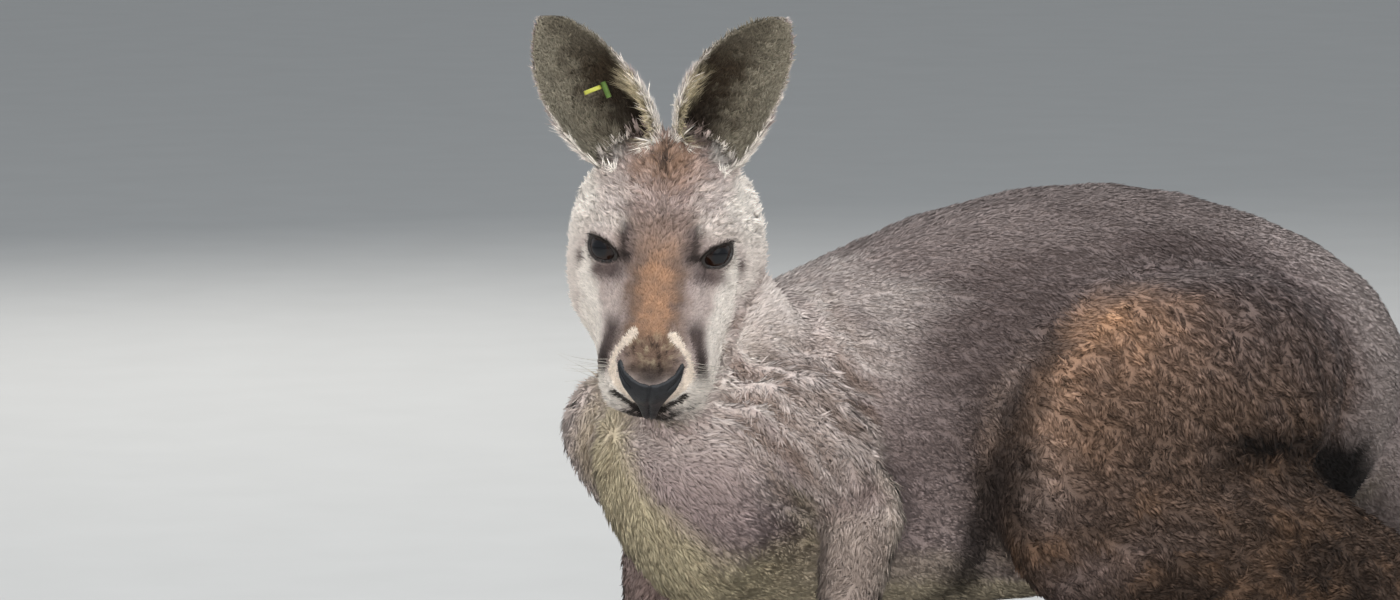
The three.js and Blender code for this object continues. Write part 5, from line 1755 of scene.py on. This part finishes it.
class KANGAROO_OT_stage(bpy.types.Operator):
    """Makes the floor, the lights and the camera"""

    bl_idname = "kangaroo.stage"
    bl_label = "Stage"

    def execute(self, context):
        settings = context.scene.kangaroo_stage
        turn, rise = settings.azimuth, settings.elevation
        back = Vector((math.sin(turn) * math.cos(rise), -math.cos(turn) * math.cos(rise), math.sin(rise)))
        right = Vector((math.cos(turn), math.sin(turn), 0))
        above = back.cross(right)
        aim = Vector(HEAD_PLACE) + Vector((-0.001, 0.001, 0)) + right * AIM_ASIDE - above * AIM_BELOW
        camera = bpy.data.objects.new("Camera", bpy.data.cameras.new("Camera"))
        context.scene.collection.objects.link(camera)
        turn = Matrix((right, above, back)).transposed().to_4x4()
        camera.matrix_world = Matrix.Translation(aim + back * settings.distance) @ turn
        camera.data.lens = settings.lens
        context.scene.camera = camera
        reach, rings, spokes = 40.0, 12, 48
        vertices = [(0, 0, 0)]
        for i in range(1, rings + 1):
            radius = reach * (i / rings) ** 2
            turns = np.arange(spokes) * 2 * math.pi / spokes
            vertices += [(radius * math.cos(a), radius * math.sin(a), 0) for a in turns]
        faces = [[0, 1 + k, 1 + (k + 1) % spokes] for k in range(spokes)]
        faces += [[1 + v for v in face][::-1] for face in grid_faces(rings, spokes, True)]
        floor = new_object("floor", mesh_of("floor", vertices, faces, smooth=False))
        material, tree, shader = new_material("Floor")
        place = put(tree, "ShaderNodeTexCoord").outputs["Object"]
        noise = put(tree, "ShaderNodeTexNoise", {"Vector": place, "Scale": 9.0, "Detail": 4.0}).outputs["Fac"]
        feed(tree, shader, {"Base Color": mixed(tree, noise, (0.55, 0.54, 0.52), (0.60, 0.59, 0.57)), "Roughness": 0.8})
        floor.data.materials.append(material)
        world = bpy.data.worlds.new("Studio")
        world.use_nodes = True
        background = world.node_tree.nodes["Background"]
        feed(world.node_tree, background, {"Color": (0.80, 0.86, 0.92, 1), "Strength": 0.45})
        context.scene.world = world
        middle_of_part = (Vector(CAD_BOX[0]) + Vector(CAD_BOX[1])) / 2
        head = Vector(HEAD_PLACE) - middle_of_part
        lights = (
            ("Sky", 3.2, 62 * settings.key, (0.92, 0.96, 1.0), Vector((-0.5, -0.9, 2.6))),
            ("Fill", 2.2, 5 * settings.fill, (1.0, 0.97, 0.93), back * 3.0 + Vector((0.9, 0, 0.9))),
            ("Front", 0.35, 165 * settings.fill, (1.0, 0.97, 0.93), head + back * 1.7 + Vector((-0.2, 0, -0.22))),
            ("Window", 0.7, 4 * settings.fill, (0.9, 0.95, 1.0), head + back * 2.0 + Vector((-0.4, 0, 0.95))),
            ("Beside", 0.3, 70 * settings.fill, (1.0, 0.98, 0.95), head + Vector((1.0, -0.6, 0.45))),
            ("Beyond", 0.3, 85 * settings.fill, (1.0, 0.98, 0.95), head + Vector((-0.9, 0.75, 0.45))),
            ("Edge", 2.0, 36 * settings.key, (1.0, 0.98, 0.95), Vector((0.4, 2.6, 1.6))),
        )
        for name, size, energy, tone, offset in lights:
            narrow = name in ("Front", "Beside", "Beyond")
            light = bpy.data.lights.new(name, "SPOT" if narrow else "AREA")
            light.energy, light.color = energy, tone
            if narrow:
                light.shadow_soft_size, light.spot_size, light.spot_blend = size, math.radians(24), 1.0
            else:
                light.shape, light.size = "DISK", size
            lamp = bpy.data.objects.new(name, light)
            context.scene.collection.objects.link(lamp)
            lamp.location = middle_of_part + offset
            target = Vector(HEAD_PLACE) if narrow or name == "Window" else middle_of_part
            lamp.rotation_euler = (target - lamp.location).to_track_quat("-Z", "Y").to_euler()
            lamp.visible_glossy = not narrow
        context.scene.view_settings.view_transform = "Standard"
        return {"FINISHED"}


class KANGAROO_OT_skin(bpy.types.Operator):
    """Makes the one skin that stands for all the nodes of flesh"""

    bl_idname = "kangaroo.skin"
    bl_label = "Skin"

    def execute(self, context):
        made["tone"], made["grain"] = tone_group(), grain_group()
        skin = dressed_skin()
        piece = new_object("skin", skin["mesh"])
        finished(piece, skin_material(), "body_coat", *REGIONS)
        made["skin"] = skin
        made["tree"] = BVHTree.FromPolygons(skin["points"].tolist(), skin["triangles"].tolist())
        return {"FINISHED"}


class KANGAROO_OT_eyes(bpy.types.Operator):
    """Makes the eyeballs, the rims of the lids and the lashes"""

    bl_idname = "kangaroo.eyes"
    bl_label = "Eyes and lids"

    def execute(self, context):
        needed("skin")
        eye = context.scene.kangaroo_eye
        wet = eye_material(tuple(eye.iris))
        bare = bare_material("Lid rim", (0.012, 0.009, 0.008), (0.03, 0.024, 0.02), 0.38, 0.0009, 0.0002)
        lashes = []
        for side in SIDES:
            finished(eyeball(side), wet, "eye", f"eye_{side}")
            lashes += upper_lashes(side, eye)
        rims = mesh_of("lid_rims", *gathered(lid_rim(side, eye) for side in SIDES))
        face_outwards(rims)
        finished(new_object("lid_rims", rims), bare, "nose_skin")
        finished(tubes_object("lashes", lashes, 0.00022, 0.00006), bare, "claw")
        return {"FINISHED"}


class KANGAROO_OT_nose(bpy.types.Operator):
    """Makes the bare leather of the nose, with its nostrils"""

    bl_idname = "kangaroo.nose"
    bl_label = "Nose"

    def execute(self, context):
        tree = needed("tree")
        leather = bare_material("Nose leather", (0.005, 0.005, 0.006), (0.012, 0.012, 0.014), 0.55, 0.0010, 0.0003)
        finished(nose_leather(tree), leather, "nose_skin")
        return {"FINISHED"}


class KANGAROO_OT_whiskers(bpy.types.Operator):
    """Makes the whiskers of the lips"""

    bl_idname = "kangaroo.whiskers"
    bl_label = "Whiskers"

    def execute(self, context):
        tree = needed("tree")
        fine = bare_material("Whisker", (0.28, 0.25, 0.21), (0.52, 0.48, 0.42), 0.45, 0.004, 0.0001)
        finished(tubes_object("whiskers", whisker_paths(tree), 0.00018, 0.00004), fine, "claw")
        return {"FINISHED"}


class KANGAROO_OT_claws(bpy.types.Operator):
    """Makes the claws of the hands and feet"""

    bl_idname = "kangaroo.claws"
    bl_label = "Claws"

    def execute(self, context):
        needed("skin")
        horn = bare_material("Horn", (0.014, 0.012, 0.010), (0.055, 0.044, 0.034), 0.42, 0.0016, 0.00015, coat=0.1)
        for limb in ("hand", "foot"):
            nodes = sorted(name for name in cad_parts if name.startswith(f"{limb}_claw"))
            finished(claws_of(f"{limb}_claws", nodes), horn, "claw", *nodes)
        return {"FINISHED"}


class KANGAROO_OT_tag(bpy.types.Operator):
    """Finishes the ear tag's plate and stud"""

    bl_idname = "kangaroo.tag"
    bl_label = "Ear tag"

    def execute(self, context):
        needed("skin")
        plate = bare_material("Tag plate", (0.40, 0.40, 0.05), (0.50, 0.50, 0.10), 0.4, 0.002, 0.00008)
        stud = bare_material("Tag stud", (0.06, 0.11, 0.02), (0.11, 0.18, 0.04), 0.45, 0.002, 0.00008)
        for node, finish in (("ear_tag", plate), ("ear_tag_stud", stud)):
            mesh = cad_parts[node].data
            if len(mesh.materials):
                mesh.materials[0] = finish
            else:
                mesh.materials.append(finish)
        return {"FINISHED"}


class KANGAROO_OT_coat(bpy.types.Operator):
    """Makes the coat: tufts over the whole skin, in pieces"""

    bl_idname = "kangaroo.coat"
    bl_label = "Coat"

    def execute(self, context):
        skin = needed("skin")
        coat = context.scene.kangaroo_coat
        tree = coat_tree()
        tufts = tuft_shapes()
        plain = hair_material("Body hair", 0.94, 1.04, 0.88, 0.16)
        woolly = hair_material("Curled hair", 0.90, 1.08, 0.86, 0.26)
        short = hair_material("Short hair", 0.74, 1.12, 0.76, 0.24)
        ear_hair = hair_material("Ear hair", 0.55, 1.35, 0.5, 0.30)
        finishes = {"coat_face": short, "coat_head": short, "coat_ears": ear_hair, "coat_feet_hands": short,
                    "coat_hind_left": woolly, "coat_hind_right": woolly}  # fmt: skip
        pieces = piece_of_triangle(skin)
        for number, (name, (most, clump, slot, _)) in enumerate(COAT.items()):
            finish = finishes.get(name, plain)
            piece = coat_piece(name, skin, pieces == number, tree, tufts, most, clump, finish, coat)
            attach(piece, "root")
        return {"FINISHED"}


OPERATORS = (
    KANGAROO_OT_stage,
    KANGAROO_OT_skin,
    KANGAROO_OT_eyes,
    KANGAROO_OT_nose,
    KANGAROO_OT_whiskers,
    KANGAROO_OT_claws,
    KANGAROO_OT_tag,
    KANGAROO_OT_coat,
)


class KANGAROO_PT_panel(bpy.types.Panel):
    """Lists the steps that make the kangaroo, in order"""

    bl_idname = "KANGAROO_PT_panel"
    bl_label = "Kangaroo"
    bl_space_type = "VIEW_3D"
    bl_region_type = "UI"
    bl_category = "Kangaroo"

    def draw(self, context):
        for operator in OPERATORS:
            self.layout.operator(operator.bl_idname)
        for name in SETTINGS:
            box = self.layout.box()
            settings = getattr(context.scene, name)
            for key in settings.bl_rna.properties.keys():
                if key not in ("rna_type", "name"):
                    box.prop(settings, key)


CLASSES = (*SETTINGS.values(), *OPERATORS, KANGAROO_PT_panel)


def register():
    for each in CLASSES:
        bpy.utils.register_class(each)
    for name, group in SETTINGS.items():
        setattr(bpy.types.Scene, name, bpy.props.PointerProperty(type=group))


def unregister():
    for name in SETTINGS:
        delattr(bpy.types.Scene, name)
    for each in reversed(CLASSES):
        bpy.utils.unregister_class(each)


def main():
    register()
    for operator in OPERATORS:
        group, name = operator.bl_idname.split(".")
        getattr(getattr(bpy.ops, group), name)()


if __name__ == "__main__":
    main()
